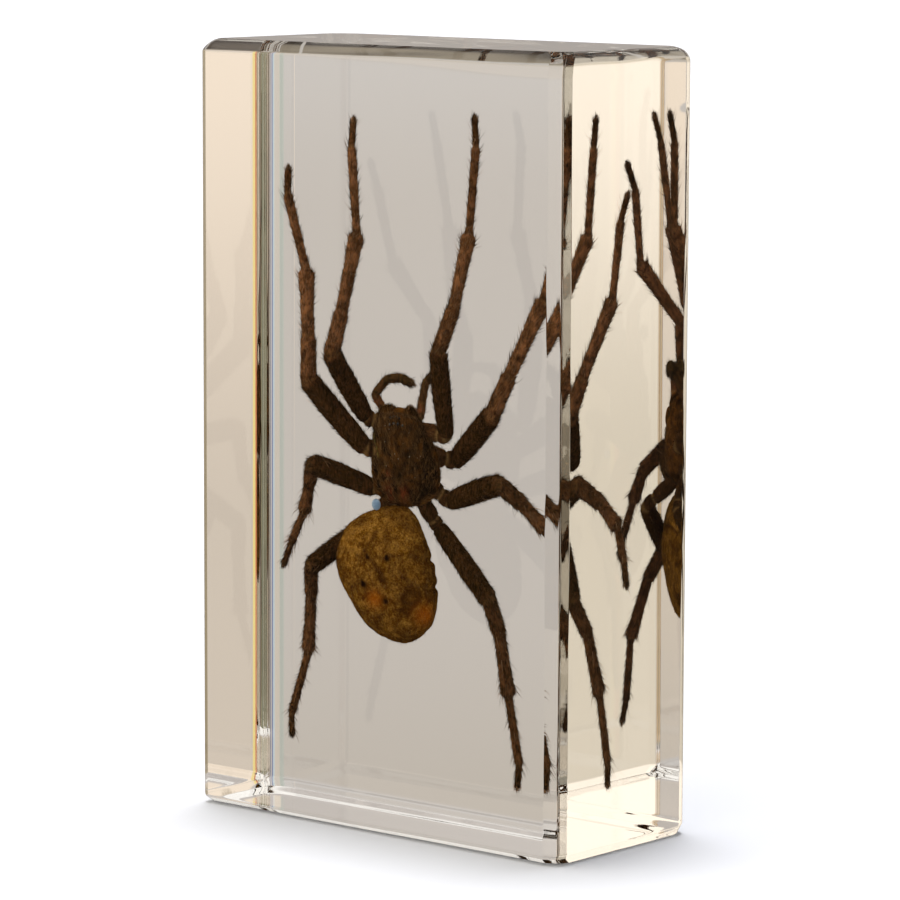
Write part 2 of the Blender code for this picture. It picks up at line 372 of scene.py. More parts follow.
@dataclass(frozen=True)
class Bristles:
    """Hairs of one kind: each a thin curved spike of three sides that tapers to a point.

    Length and tilt are spans to draw from, and the tilt is in degrees from the surface's normal. Droop is a
    share of the length, clump a width, and clumped the clump's share in a hair's shade.
    """

    length: tuple[float, float]
    radius: float
    tilt: tuple[float, float]
    # Where along a hair its three rings stand, the first just under the surface, and how far it thins
    shares: Triple = (-0.06, 0.35, 0.7)
    thinned: float = 0.8
    droop: float = 0.35
    stray: float = 0.3
    clump: float = 0.5
    clumped: float = 0.6

    def grow(self, roots: Numbers, normals: Numbers, along: Numbers, seed: int, level: Numbers) -> Skin:
        """Grows one hair from each root.

        A hair starts in a direction between the normal and the run of the surface, by its tilt, with a little
        strayed at random. Its middle line bends towards the run with the square of the share of its length,
        and its radius falls with that share. Its mark shade is partly its clump's, a smooth random field
        drawn out upwards.

        Args:
            roots: Point of each root on the surface.
            normals: Outward normal there.
            along: Direction that the hairs lie towards.
            seed: Seed of the random draws.
            level: How light each hair may be, from 0 to 1.

        Returns:
            One skin with all the hairs, each closed.
        """
        draw = np.random.default_rng(seed)
        count = len(roots)
        length = draw.uniform(*self.length, count)[:, None]
        tilt = np.radians(draw.uniform(*self.tilt, count))[:, None]
        strayed = unit(along + self.stray * draw.normal(size=(count, 3)))
        flat = unit(strayed - (strayed * normals).sum(-1, keepdims=True) * normals)
        start = np.cos(tilt) * normals + np.sin(tilt) * flat
        first = unit(np.cross(start, normals + 0.01 * strayed))
        second = np.cross(start, first)
        shares = np.array(self.shares)
        middle = roots[:, None] + length[:, None] * (
            shares[None, :, None] * start[:, None] + self.droop * (shares**2)[None, :, None] * flat[:, None]
        )
        circle = circles(np.arange(3) * 2 * math.pi / 3, first, second)
        reach = self.radius * (1 - self.thinned * np.clip(shares, 0, 1))
        rings = middle[:, :, None] + reach[None, :, None, None] * circle[:, None]
        tips = roots + length * (start + self.droop * flat)
        points = np.concatenate((rings.reshape(count, 9, 3), tips[:, None]), axis=1)
        base = (np.arange(count) * points.shape[1])[:, None, None]
        after = (1, 2, 0)
        sides = [[r + p, r + after[p], r + 3 + after[p], r + 3 + p] for r in (0, 3) for p in range(3)]
        caps = [[2, 1, 0], [6, 7, 9], [7, 8, 9], [8, 6, 9]]
        clump = 0.5 + 0.9 * Grain(self.clump, 400 + seed, 2).at(roots * (1.0, 1.0, 0.35))
        own = draw.uniform(0, 1, count)
        shade = np.clip(self.clumped * clump + (1 - self.clumped) * own, 0, 1) * level
        marks = {"shade": np.repeat(shade, points.shape[1])}
        quads, triangles = (base + np.array(sides)).reshape(-1, 4), (base + np.array(caps)).reshape(-1, 3)
        return Skin(points.reshape(-1, 3), quads, triangles, HAIRS, marks).outwards()

    def cover(
        self,
        grid: Numbers,
        weight: Numbers,
        count: int,
        seeds: tuple[int, int],
        way: float = 1.0,
        level: Numbers | float = 1.0,
    ) -> Skin:
        """Grows hairs from random roots on a grid of rings.

        Args:
            grid: Points by ring and place.
            weight: How thickly the hairs stand, by ring and place.
            count: Number of hairs.
            seeds: Seeds of the roots and of the hairs.
            way: 1 where they lie towards rising rings, and -1 where they lie back.
            level: How light the hairs may be, from 0 to 1, for all or by ring.

        Returns:
            One skin with all the hairs.
        """
        roots, normals, along, ring = sprinkle(grid, weight, count, seeds[0])
        return self.grow(roots, normals, way * along, seeds[1], np.broadcast_to(level, len(grid))[ring])


def sprinkle(
    grid: Numbers, weight: Numbers, count: int, seed: int
) -> tuple[Numbers, Numbers, Numbers, Whole]:
    """Random roots on a grid of rings.

    A cell is drawn with a chance in proportion to its area times its weight, and the root is the mix of the
    cell's four corners by two random shares.

    Args:
        grid: Points by ring and place.
        weight: How thickly the hairs stand, by ring and place.
        count: Number of roots.
        seed: Seed of the random draws.

    Returns:
        The roots, their normals, the direction of rising rings there, and the ring of each.
    """
    draw = np.random.default_rng(seed)
    right = np.roll(grid, -1, axis=1)
    area = np.linalg.norm(np.cross(right[:-1] - grid[:-1], grid[1:] - grid[:-1]), axis=-1)
    chance = (area * weight[:-1]).ravel()
    cell = draw.choice(len(chance), count, p=chance / chance.sum())
    ring, place = np.divmod(cell, grid.shape[1])
    after = (place + 1) % grid.shape[1]
    u, v = draw.uniform(size=(2, count, 1))
    low = (1 - u) * grid[ring, place] + u * grid[ring, after]
    high = (1 - u) * grid[ring + 1, place] + u * grid[ring + 1, after]
    normals = grid_normals(grid)[ring, place]
    return (1 - v) * low + v * high, normals, unit(high - low), ring


def new_object(name: str, data: bpy.types.ID) -> bpy.types.Object:
    """Makes an object of the data in the scene.

    Args:
        name: Name of the object.
        data: Its mesh, light or camera.

    Returns:
        The object.
    """
    made = bpy.data.objects.new(name, data)
    bpy.context.scene.collection.objects.link(made)
    return made


def make_piece(
    name: str,
    skins: Sequence[Skin],
    finishes: Sequence[bpy.types.Material],
    stands_for: Sequence[str],
) -> bpy.types.Object:
    """Makes one object from skins, in metres, and fits it to the frame.

    Args:
        name: Name of the piece.
        skins: Its closed skins.
        finishes: Materials, by the skins' finish index.
        stands_for: CAD nodes that it replaces.

    Returns:
        The object.
    """
    starts = np.cumsum([0] + [len(s.points) for s in skins])[:-1]
    points = np.concatenate([s.points for s in skins]) * MM
    quads = np.concatenate([s.quads + start for s, start in zip(skins, starts)])
    triangles = np.concatenate([s.triangles + start for s, start in zip(skins, starts)])
    mesh = bpy.data.meshes.new(name)
    mesh.vertices.add(len(points))
    mesh.vertices.foreach_set("co", points.astype(np.float32).ravel())
    corners = np.concatenate((quads.ravel(), triangles.ravel()))
    mesh.loops.add(len(corners))
    mesh.loops.foreach_set("vertex_index", corners.astype(np.int32))
    loop_starts = np.concatenate((np.arange(len(quads)) * 4, quads.size + np.arange(len(triangles)) * 3))
    mesh.polygons.add(len(loop_starts))
    mesh.polygons.foreach_set("loop_start", loop_starts.astype(np.int32))
    finish_of = [s.finish for s in skins]
    counts = [[len(s.quads) for s in skins], [len(s.triangles) for s in skins]]
    kinds = np.concatenate([np.repeat(finish_of, count) for count in counts])
    mesh.update(calc_edges=True)
    mesh.polygons.foreach_set("material_index", kinds.astype(np.int32))
    mesh.shade_smooth()
    for mark in sorted({m for s in skins for m in s.marks}):
        values = np.concatenate([s.marks.get(mark, np.zeros(len(s.points))) for s in skins])
        layer = mesh.attributes.new(mark, "FLOAT", "POINT")
        layer.data.foreach_set("value", values.astype(np.float32))
    for finish in finishes:
        mesh.materials.append(finish)
    mesh.validate()
    piece = new_object(name, mesh)
    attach(piece, BODY)
    if stands_for:
        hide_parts(*stands_for)
    LOG.info("%s: %d points, %d faces", name, len(points), len(loop_starts))
    return piece


# ---------------------------------------------------------------- shader expressions


@dataclass(frozen=True)
class Term:
    """A number that varies over a surface: an output socket, on which sums and products add Math nodes."""

    graph: "Graph"
    socket: bpy.types.NodeSocket

    def _with(self, operation: str, first: Any, second: Any) -> "Term":
        """A Math node of the operation on two terms or numbers."""
        return self.graph.node("ShaderNodeMath", {"operation": operation}, {0: first, 1: second})

    def __add__(self, other: Any) -> "Term":
        """This plus the other."""
        return self._with("ADD", self, other)

    __radd__ = __add__

    def __sub__(self, other: Any) -> "Term":
        """This minus the other."""
        return self._with("SUBTRACT", self, other)

    def __rsub__(self, other: Any) -> "Term":
        """The other minus this."""
        return self._with("SUBTRACT", other, self)

    def __mul__(self, other: Any) -> "Term":
        """This times the other."""
        return self._with("MULTIPLY", self, other)

    __rmul__ = __mul__

    def __pow__(self, other: Any) -> "Term":
        """This to the power of the other."""
        return self._with("POWER", self, other)

    def angle_from(self, other: "Term") -> "Term":
        """Angle in degrees whose tangent is this over the other, over the whole turn."""
        return self._with("ARCTAN2", self, other) * math.degrees(1)

    def arc(self) -> "Term":
        """Angle in degrees whose sine is this."""
        return self._with("ARCSINE", self, 0.0) * math.degrees(1)

    def clamped(self) -> "Term":
        """This held between 0 and 1."""
        return self.graph.node("ShaderNodeClamp", {}, {"Value": self})

    def between(self, low: float, high: float) -> "Term":
        """Smooth step from 0 where this is low to 1 where it is high."""
        values = {"Value": self, "From Min": low, "From Max": high}
        return self.graph.node("ShaderNodeMapRange", {"interpolation_type": "SMOOTHSTEP"}, values)


class Graph:
    """The nodes of one material or world."""

    def __init__(self, owner: bpy.types.Material | bpy.types.World) -> None:
        """Empties the owner's node tree.

        Args:
            owner: The material or world that the nodes are for.
        """
        owner.use_nodes = True
        self.tree = owner.node_tree
        self.tree.nodes.clear()

    def node(
        self, kind: str, settings: Mapping[str, Any], values: Mapping[Any, Any], output: str | int = 0
    ) -> Term:
        """Adds any node.

        Args:
            kind: The node's type name.
            settings: Its properties, which are set first.
            values: A number, colour, term or socket for each input, by name or number.
            output: The wanted output, by name or number.

        Returns:
            That output as a term.
        """
        made = self.tree.nodes.new(kind)
        for name, value in settings.items():
            setattr(made, name, value)
        for name, value in values.items():
            source = value.socket if isinstance(value, Term) else value
            if isinstance(source, bpy.types.NodeSocket):
                self.tree.links.new(source, made.inputs[name])
            else:
                made.inputs[name].default_value = source
        return Term(self, made.outputs[output])

    def place(self) -> Term:
        """Object coordinates."""
        return self.node("ShaderNodeTexCoord", {}, {}, "Object")

    def parts(self, vector: Term) -> tuple[Term, Term, Term]:
        """The three numbers of a vector."""
        split = self.node("ShaderNodeSeparateXYZ", {}, {0: vector}).socket.node
        return tuple(Term(self, output) for output in split.outputs)

    def mark(self, name: str) -> Term:
        """A mark of the mesh."""
        return self.node("ShaderNodeAttribute", {"attribute_name": name}, {}, "Fac")

    def noise(
        self, size: float, detail: float = 3.0, roughness: float = 0.55, warp: float = 0.0, drawn: float = 1.0
    ) -> Term:
        """Noise from 0 to 1.

        Args:
            size: Rough width of its lumps in millimetres.
            detail: Number of finer layers.
            roughness: How much each finer layer counts.
            warp: How far the pattern is distorted.
            drawn: How many times longer than wide the lumps are, upwards.

        Returns:
            The noise.
        """
        stretch = {0: self.place(), 1: (1, 1, 1 / drawn)}
        values = {
            "Vector": self.node("ShaderNodeVectorMath", {"operation": "MULTIPLY"}, stretch),
            "Scale": 1 / (size * MM),
            "Detail": detail,
            "Roughness": roughness,
            "Distortion": warp,
        }
        return self.node("ShaderNodeTexNoise", {}, values)

    def cells(self, size: float) -> Term:
        """Distance in a cell pattern whose cells are about size millimetres."""
        values = {"Vector": self.place(), "Scale": 1 / (size * MM)}
        return self.node("ShaderNodeTexVoronoi", {"feature": "F1"}, values, "Distance")

    def blend(self, share: Any, first: Any, second: Any) -> Term:
        """Mix of two colours, by sockets 6, 7 and 2 of a Mix node and a share from 0 for the first to 1."""
        low, high = ((*c, 1.0) if isinstance(c, tuple) else c for c in (first, second))
        return self.node("ShaderNodeMix", {"data_type": "RGBA"}, {0: share, 6: low, 7: high}, 2)

    def bump(self, height: Term, strength: float, distance: float) -> Term:
        """Normal of a relief of that height, at most distance millimetres high."""
        values = {"Height": height, "Strength": strength, "Distance": distance * MM}
        return self.node("ShaderNodeBump", {}, values, "Normal")

    def surface(self, constants: Mapping[str, Any], varying: Mapping[str, Term]) -> Term:
        """A Principled shader: constants are set on its sockets, and varying terms are linked."""
        return self.node("ShaderNodeBsdfPrincipled", {}, {**constants, **varying})

    def finish(
        self, surface: Term, volume: Term | None = None, kind: str = "ShaderNodeOutputMaterial"
    ) -> None:
        """Adds the output node and links the shaders to it.

        Args:
            surface: The surface shader.
            volume: The shader of what is inside, if any.
            kind: The output node's type name.
        """
        made = self.tree.nodes.new(kind)
        for name, shader in (("Surface", surface), ("Volume", volume)):
            if shader is not None:
                self.tree.links.new(shader.socket, made.inputs[name])


def new_material(name: str) -> tuple[bpy.types.Material, Graph]:
    """An empty material and its graph."""
    made = bpy.data.materials.new(name)
    return made, Graph(made)


# ---------------------------------------------------------------- finishes


@dataclass(frozen=True)
class ClearResin:
    """Clear cast resin: plain transmission, an index of refraction, slight absorption, hazier where worn."""

    ior: float = 1.56
    tint: Colour = (0.9, 0.88, 0.83)
    density: float = 5.0
    worn_roughness: float = 0.035

    def material(self) -> bpy.types.Material:
        """Builds the material.

        Returns:
            The material.
        """
        made, graph = new_material("clear_resin")
        worn = graph.mark("worn")
        scuffs = graph.noise(0.9, 4.0, 0.6, 0.4).between(0.5, 0.72)
        rough = (worn * (0.35 + 0.65 * scuffs) * self.worn_roughness).clamped()
        ripple = graph.noise(7.0, 1.0) * 0.15 + worn * graph.noise(1.6, 2.0)
        shader = graph.surface(
            {"Base Color": (1, 1, 1, 1), "Transmission Weight": 1.0, "IOR": self.ior},
            {"Roughness": rough, "Normal": graph.bump(ripple, 0.25, 0.02)},
        )
        absorbed = {"Color": (*self.tint, 1), "Density": self.density}
        graph.finish(shader, graph.node("ShaderNodeVolumeAbsorption", {}, absorbed))
        return made


@dataclass(frozen=True)
class PaintedBubbleReflection:
    """A small bubble in the resin: a pale blue bead of painted reflection with a painted highlight round its
    rim.
    """

    # Pale blue as a painted reflection, and a lighter rim colour as a painted highlight
    colour: Colour = (0.16, 0.3, 0.5)
    rim: Colour = (0.62, 0.76, 0.9)

    def material(self) -> bpy.types.Material:
        """Builds the material.

        Returns:
            The material.
        """
        made, graph = new_material("air_bubble")
        facing = graph.node("ShaderNodeLayerWeight", {}, {"Blend": 0.35}, "Facing")
        # Painted highlight: lighter where the bead is seen edge-on, round its rim
        shade = graph.blend((facing + 0.3 * graph.noise(0.4)).clamped(), self.colour, self.rim)
        graph.finish(graph.surface({"Roughness": 0.2, "Specular IOR Level": 0.3}, {"Base Color": shade}))
        return made


@dataclass(frozen=True)
class DryCuticle:
    """Dried skin of legs, palps and body: dark brown, redder by the mark tone, pale in the membranes."""

    name: str
    dark: Colour
    warm: Colour
    pale: Colour = (0.3, 0.17, 0.06)
    rust: Colour = (0.22, 0.05, 0.015)
    relief: float = 0.06

    def material(self) -> bpy.types.Material:
        """Builds the material.

        Returns:
            The material.
        """
        made, graph = new_material(self.name)
        blotch = graph.noise(1.5, 4.0, 0.6, 0.5)
        speck = graph.noise(0.28, 3.0, 0.7)
        streak = graph.noise(0.3, 3.0, 0.7, 0.3, 4.0)
        warmed = graph.mark("tone") * (0.4 + 1.1 * blotch.between(0.36, 0.66)) + 0.8 * streak - 0.36
        # Pale in the membranes, and as a painted highlight along the carapace's lit left edge.
        paled = graph.mark("membrane") * (0.55 + 0.8 * speck)
        rusted = graph.mark("rust") * (0.4 + 1.2 * blotch.between(0.35, 0.6))
        skin = graph.blend(warmed.clamped(), self.dark, self.warm)
        skin = graph.blend(paled.clamped(), skin, self.pale)
        skin = graph.blend(rusted.clamped(), skin, self.rust)
        # Darker by painted shade in the carapace's pit, grooves and furrows, past its borders and between the
        # jaws, and in rings past joints.
        dimmed = graph.blend(graph.mark("groove").clamped(), skin, tuple(0.35 * c for c in self.dark))
        grit = graph.cells(0.2).between(0.0, 0.6) * 0.6 + speck * 0.8 + blotch * 0.5
        shader = graph.surface(
            {"Specular IOR Level": 0.0},
            {
                "Base Color": dimmed,
                "Roughness": (0.5 + 0.35 * blotch).clamped(),
                "Normal": graph.bump(grit, 0.8, self.relief),
            },
        )
        graph.finish(shader)
        return made


@dataclass(frozen=True)
class Fur:
    """Fine hairs, each a little lighter or darker by its mark shade."""

    name: str
    dark: Colour
    light: Colour

    def material(self) -> bpy.types.Material:
        """Builds the material.

        Returns:
            The material.
        """
        made, graph = new_material(self.name)
        shade = graph.blend(graph.mark("shade") ** 2.0, self.dark, self.light)
        varying = {"Base Color": shade, "Roughness": 0.45 + 0.2 * graph.noise(0.5)}
        graph.finish(graph.surface({"Specular IOR Level": 0.0}, varying))
        return made


@dataclass(frozen=True)
class AbdomenSkin:
    """Golden ochre skin, finely granular, with orange glows, and painted shade in its pits and towards its
    rim.
    """

    ochre: Colour = (0.2, 0.078, 0.003)
    bright: Colour = (0.68, 0.33, 0.06)
    brown: Colour = (0.045, 0.013, 0.0005)
    orange: Colour = (0.55, 0.13, 0.005)
    black: Colour = (0.012, 0.004, 0.0004)

    def material(self) -> bpy.types.Material:
        """Builds the material.

        Returns:
            The material.
        """
        made, graph = new_material("abdomen_ochre")
        cloud = graph.noise(3.4, 4.0, 0.62, 0.8)
        patch = graph.noise(1.1, 4.0, 0.65, 0.5)
        speck = graph.noise(0.3, 4.0, 0.7)
        grain = graph.cells(0.3)
        # Lighter patches, and specks that are painted highlights on the grains.
        lit = (0.55 * patch.between(0.4, 0.62) + 0.6 * speck.between(0.48, 0.66)).clamped()
        clouded = (cloud.between(0.36, 0.7) * 0.6 + 0.32 * graph.mark("dull")).clamped()
        gritty = (grain.between(0.45, 0.85) * 0.35 + (1.0 - speck.between(0.32, 0.46)) * 0.5).clamped()
        glowing = (graph.mark("glow") * (0.4 + 0.7 * speck)).clamped()
        grooved_and_shaded = (graph.mark("groove") * (0.75 + 0.5 * patch)).clamped()
        skin = graph.blend(lit, self.ochre, self.bright)
        skin = graph.blend(clouded, skin, self.brown)
        skin = graph.blend(gritty, skin, self.brown)
        skin = graph.blend(glowing, skin, self.orange)
        # Painted shade: browner by the groove mark, and nearly black in the pits.
        skin = graph.blend(grooved_and_shaded, skin, self.brown)
        skin = graph.blend(graph.mark("pit").between(0.3, 0.8) * 0.9, skin, self.black)
        height = speck * 0.9 + grain * -0.5 + patch * 0.8
        varying = {
            "Base Color": skin,
            "Roughness": (0.42 + 0.4 * speck).clamped(),
            "Normal": graph.bump(height, 1.0, 0.12),
        }
        shader = graph.surface({"Specular IOR Level": 0.0}, varying)
        graph.finish(shader)
        return made


@dataclass(frozen=True)
class EyeGloss:
    """Dark glossy eyes."""

    dark: Colour = (0.012, 0.009, 0.008)
    brown: Colour = (0.05, 0.025, 0.012)

    def material(self) -> bpy.types.Material:
        """Builds the material.

        Returns:
            The material.
        """
        made, graph = new_material("eye_gloss")
        shade = graph.blend(graph.noise(0.3), self.dark, self.brown)
        graph.finish(graph.surface({"Roughness": 0.12, "Coat Weight": 0.6}, {"Base Color": shade}))
        return made


@dataclass(frozen=True)
class PaleCrumb:
    """Pale crumbs of dried dust on the carapace."""

    pale: Colour = (0.62, 0.55, 0.42)
    dull: Colour = (0.34, 0.26, 0.16)

    def material(self) -> bpy.types.Material:
        """Builds the material.

        Returns:
            The material.
        """
        made, graph = new_material("pale_crumb")
        shade = graph.blend(graph.noise(0.12, 3.0), self.pale, self.dull)
        graph.finish(graph.surface({"Roughness": 0.8}, {"Base Color": shade}))
        return made


# ---------------------------------------------------------------- the block


@dataclass(frozen=True)
class WornEdge:
    """Hand-ground edge between a side face and an end face.

    From the side face it leans in by three bands, each with its own slope. The bands' borders wander a little
    along the edge, and the first band can widen towards one end.
    """

    reach: float
    slopes: Triple = (0.27, 1.0, 3.6)
    shares: Triple = (1.0, 0.5, 0.14)
    widen: float = 0.0
    wander: float = 0.12
    soft: float = 0.09
    seed: int = 1

    def inset(self, below: Numbers, along: Numbers) -> Numbers:
        """How far the side has moved in.

        Each band adds its change of slope times a softened ramp: a width w times the logarithm of one plus e
        to the power of the height over w.

        Args:
            below: Distance below the end face.
            along: Place along the edge, from -1 to 1.

        Returns:
            The inset in millimetres.
        """
        draw = np.random.default_rng(self.seed)
        phases = draw.uniform(0, 2 * math.pi, (3, 2))
        total, slope_so_far = np.zeros(np.broadcast(below, along).shape), 0.0
        for band, (slope, share) in enumerate(zip(self.slopes, self.shares)):
            ripple = np.sin(2.3 * along + phases[band, 0]) + 0.5 * np.sin(6.1 * along + phases[band, 1])
            start = self.reach * share * (1 + self.wander * ripple * (0.6 if band else 1.0))
            if band == 0:
                start = start + self.widen * ramp(along, -0.1, 0.9)
            over = np.clip((start - below) / self.soft, -40, 40)
            total += (slope - slope_so_far) * self.soft * np.log1p(np.exp(over))
            slope_so_far = slope
        return total


@dataclass(frozen=True)
class Corner:
    """A vertical edge: its place by signs, its rounding, and how far it is ground into two flats.

    The flats meet at the split, in degrees. The rounding is drawn out along X by the stretch, and leaves out
    its first few degrees, the crease.
    """

    sign_x: int
    sign_y: int
    radius: float
    flats: float
    split: float = 45.0
    blur: float = 1.3
    stretch: float = 1.0
    crease: float = 0.0

    @property
    def start(self) -> float:
        """Angle in radians at which the rounding starts, from +X towards +Y."""
        return {(1, -1): -0.5, (1, 1): 0.0, (-1, 1): 0.5, (-1, -1): 1.0}[(self.sign_x, self.sign_y)] * math.pi

    @property
    def reach(self) -> Numbers:
        """How far the rounding reaches along X and along Y."""
        return np.array((self.radius * self.stretch, self.radius))

    def centre(self, half: Numbers) -> Numbers:
        """Middle of the rounding, for the block's half width and half depth."""
        return np.array((self.sign_x, self.sign_y)) * (half - self.reach)

    def radii(self, step: Numbers) -> Numbers:
        """Radius at angles from the corner's start.

        Along a chord the radius is the cosine of half its angle over the cosine of the angle from its middle,
        and the share of flats mixes it with the round. A blur softens the ridge between the two.

        Args:
            step: Angles in radians, from 0 to a quarter turn.

        Returns:
            The radius at each.
        """
        split = math.radians(self.split)
        half = np.where(step <= split, split / 2, (math.pi / 2 - split) / 2)
        middle = np.where(step <= split, split / 2, split + (math.pi / 2 - split) / 2)
        chord = np.cos(half) / np.cos(step - middle)
        return smoothed(self.radius * ((1 - self.flats) + self.flats * chord), self.blur)


@dataclass
class ResinBlock:
    """The clear block with its ground and polished edges."""

    width: float = 66.0
    depth: float = 30.0
    height: float = 110.0
    edge_zone: float = 4.2
    row_step: float = 0.1
    scarred_from: float = 89.6
    scarred_step: float = 0.3
    corner_steps: int = 40
    side_steps: int = 14
    support: float = 0.05
    # How far inside a side face its inset applies in full
    full_inset: float = 2.35
    wave_depth: float = 0.045
    # Middle, reach and depth of each scar that grinding left on the edges
    nicks: tuple[tuple[Triple, Triple, float], ...] = (
        ((33.0, 13.2, 101.7), (0.7, 0.5, 0.65), 0.3),
        ((-3.2, -14.4, 109.0), (1.3, 0.8, 0.7), 0.22),
        ((5.4, -14.2, 109.3), (2.2, 0.8, 0.5), 0.16),
        ((18.6, -14.4, 108.9), (0.7, 0.8, 0.7), 0.22),
        ((29.6, -13.0, 109.4), (0.8, 1.0, 0.6), 0.3),
    )
    corners: tuple[Corner, ...] = (
        Corner(1, -1, 2.35, 1.0, 52.0),
        Corner(1, 1, 2.8, 0.2),
        Corner(-1, 1, 3.5, 0.05, stretch=1.32, crease=5.0),
        Corner(-1, -1, 1.3, 0.3),
    )
    top: Mapping[str, WornEdge] = field(
        default_factory=lambda: {
            "front": WornEdge(1.7, (0.12, 0.95, 1.5), (1.0, 0.95, 0.2), widen=1.5, seed=3),
            "back": WornEdge(1.8, seed=4),
            "left": WornEdge(1.6, seed=5),
            "right": WornEdge(1.5, (0.5, 1.0, 2.6), seed=6),
        }
    )
    bottom: Mapping[str, WornEdge] = field(
        default_factory=lambda: {
            "front": WornEdge(0.8, (1.2, 1.5, 1.5), (1.0, 0.8, 0.1), wander=0.08, seed=13),
            "back": WornEdge(1.25, (0.78, 0.22, 0.3), (1.0, 0.8, 0.1), wander=0.03, seed=14),
            "left": WornEdge(1.1, (0.5, 0.28, 0.35), (1.0, 0.85, 0.1), wander=0.05, seed=15),
            "right": WornEdge(1.2, (0.6, 0.4, 0.6), (1.0, 0.8, 0.1), wander=0.06, seed=16),
        }
    )

    def build(self, finish: bpy.types.Material) -> bpy.types.Object:
        """Builds the block and fits it to the frame.

        Args:
            finish: The resin's material.

        Returns:
            The object that stands for both resin halves.
        """
        grid, worn = self.grid()
        skin = closed_skin(grid, marks={"worn": worn})
        halves = ["resin_front_half", "resin_back_half"]
        return make_piece("resin_block", [skin], [finish], halves)

    def levels(self) -> Numbers:
        """Heights of the rings: close together near the two ends, wider where the edge is scarred.

        Returns:
            The heights, rising.
        """
        zone = np.concatenate(([0.0, 0.02, 0.05], np.arange(0.0, self.edge_zone, self.row_step)[1:]))
        scarred = np.arange(self.scarred_from, self.height - self.edge_zone, self.scarred_step)
        return np.concatenate((zone, [self.height / 2], scarred, (self.height - zone)[::-1]))

    def outline(self) -> tuple[Numbers, Numbers, Numbers, Numbers]:
        """The level outline as a centre that moves with the sides, and a reach from it that doesn't.

        A corner is a quarter circle with its two flats. Along a side, the centre runs from one corner's to
        the next one's.

        Returns:
            The centre's places along X and along Y, the reach from it in both directions, and how worn the
            place is.
        """
        centres, reaches, worn = [], [], []
        half = np.array((self.width, self.depth)) / 2
        for number, corner in enumerate(self.corners):
            start, crease = corner.start, math.radians(corner.crease)
            step = np.linspace(crease, 0.5 * math.pi, self.corner_steps)
            reach = corner.radii(step)[:, None] * np.stack((np.cos(start + step), np.sin(start + step)), -1)
            reach[:, 0] *= corner.stretch
            reach *= 1 + (1 / math.cos(crease) - 1) * np.abs((math.cos(start), math.sin(start)))
            centre = corner.centre(half)
            centres.append(np.repeat(centre[None], self.corner_steps, axis=0))
            reaches.append(reach)
            worn.append(np.sin(2 * step) * 0.9 + 0.1)
            following = self.corners[(number + 1) % 4]
            goal = following.centre(half)
            gap = self.support / np.linalg.norm(goal - centre)
            shares = np.concatenate(([gap], np.linspace(0, 1, self.side_steps)[1:-1], [1 - gap]))
            out = reach[-1] / np.linalg.norm(reach[-1])
            axis = int(abs(out[1]) > 0.5)
            side_reach = corner.reach[axis] + (following.reach[axis] - corner.reach[axis]) * shares
            centres.append(centre + shares[:, None] * (goal - centre))
            reaches.append(side_reach[:, None] * out)
            worn.append(np.zeros(len(shares)))
        centre, reach = np.concatenate(centres), np.concatenate(reaches)
        return centre[:, 0], centre[:, 1], reach, np.concatenate(worn)

    def grid(self) -> tuple[Numbers, Numbers]:
        """Rings of the block from bottom to top, and how worn each point is.

        A point's sideways place is its outline's, moved in by the inset of the side that it belongs to, in
        proportion to how far it stands from the middle: each side's inset applies to the whole half of the
        ring towards it. The ground edge at the top has shallow random waves, drawn out along it. A nick moves
        the points round it inwards by its depth times a bell curve.

        Returns:
            Points by ring, place and coordinate, and the wear by ring and place.
        """
        centre_x, centre_y, reach, corner_worn = self.outline()
        z = self.levels()[:, None]
        flat_x, flat_y = (centre_x + reach[:, 0])[None, :], (centre_y + reach[:, 1])[None, :]
        along_x, along_y = flat_x / (self.width / 2), flat_y / (self.depth / 2)
        insets = {}
        for side, along in (("front", along_x), ("back", along_x), ("left", along_y), ("right", along_y)):
            insets[side] = self.bottom[side].inset(z, along) + self.top[side].inset(self.height - z, along)
        to_x = np.where(centre_x > 0, insets["right"], insets["left"])
        to_y = np.where(centre_y > 0, insets["back"], insets["front"])
        half_x, half_y = self.width / 2 - self.full_inset, self.depth / 2 - self.full_inset
        x = flat_x - to_x * np.clip(centre_x / half_x, -1, 1)
        y = flat_y - to_y * np.clip(centre_y / half_y, -1, 1)
        out_of_ring = (reach / np.linalg.norm(reach, axis=1, keepdims=True))[None]
        on_front_or_back = np.abs(reach[:, 1]) > np.abs(reach[:, 0]) - 1e-9
        moved = np.where(on_front_or_back, to_y, to_x)
        ground = ramp(moved, 0.01, 0.3)
        end_face = ramp(np.maximum(z, self.height - z), self.height - 0.03, self.height)
        worn = np.maximum(ground * (1 - end_face), corner_worn[None, :])
        grid = np.stack((x, y, np.broadcast_to(z, x.shape)), -1)
        swell = 1 + Grain(2.6, 91, 2).at(grid * (0.3, 0.3, 2.4))
        waves = self.wave_depth * ground * (z > self.height / 2) * swell
        grid[..., :2] -= waves[..., None] * out_of_ring
        for middle, spread, depth in self.nicks:
            away = np.linalg.norm((grid - np.asarray(middle)) / np.asarray(spread), axis=-1)
            grid[..., :2] -= (depth * bell(away, 1.0))[..., None] * unit(np.sign(grid[..., :2]) * (0.6, 0.8))
        inner = grid[[0, -1]].copy()
        inner[..., :2] *= 1 - 2 * self.support / self.depth
        grid = np.concatenate((inner[:1], grid, inner[1:]))
        return grid, np.pad(worn, ((1, 1), (0, 0)))


@dataclass
class Bubble:
    """A small air bubble beside the spider's neck."""

    centre: Triple = (-2.4, -8.6, 45.9)
    radius: float = 0.76

    def build(self, finish: bpy.types.Material) -> bpy.types.Object:
        """Builds the bubble: an ellipsoid a little taller than wide."""
        grid = ellipsoid_grid(self.centre, (self.radius, self.radius * 0.9, self.radius * 1.08))
        return make_piece("air_bubble", [closed_skin(grid)], [finish], [])


# ---------------------------------------------------------------- the spider's body


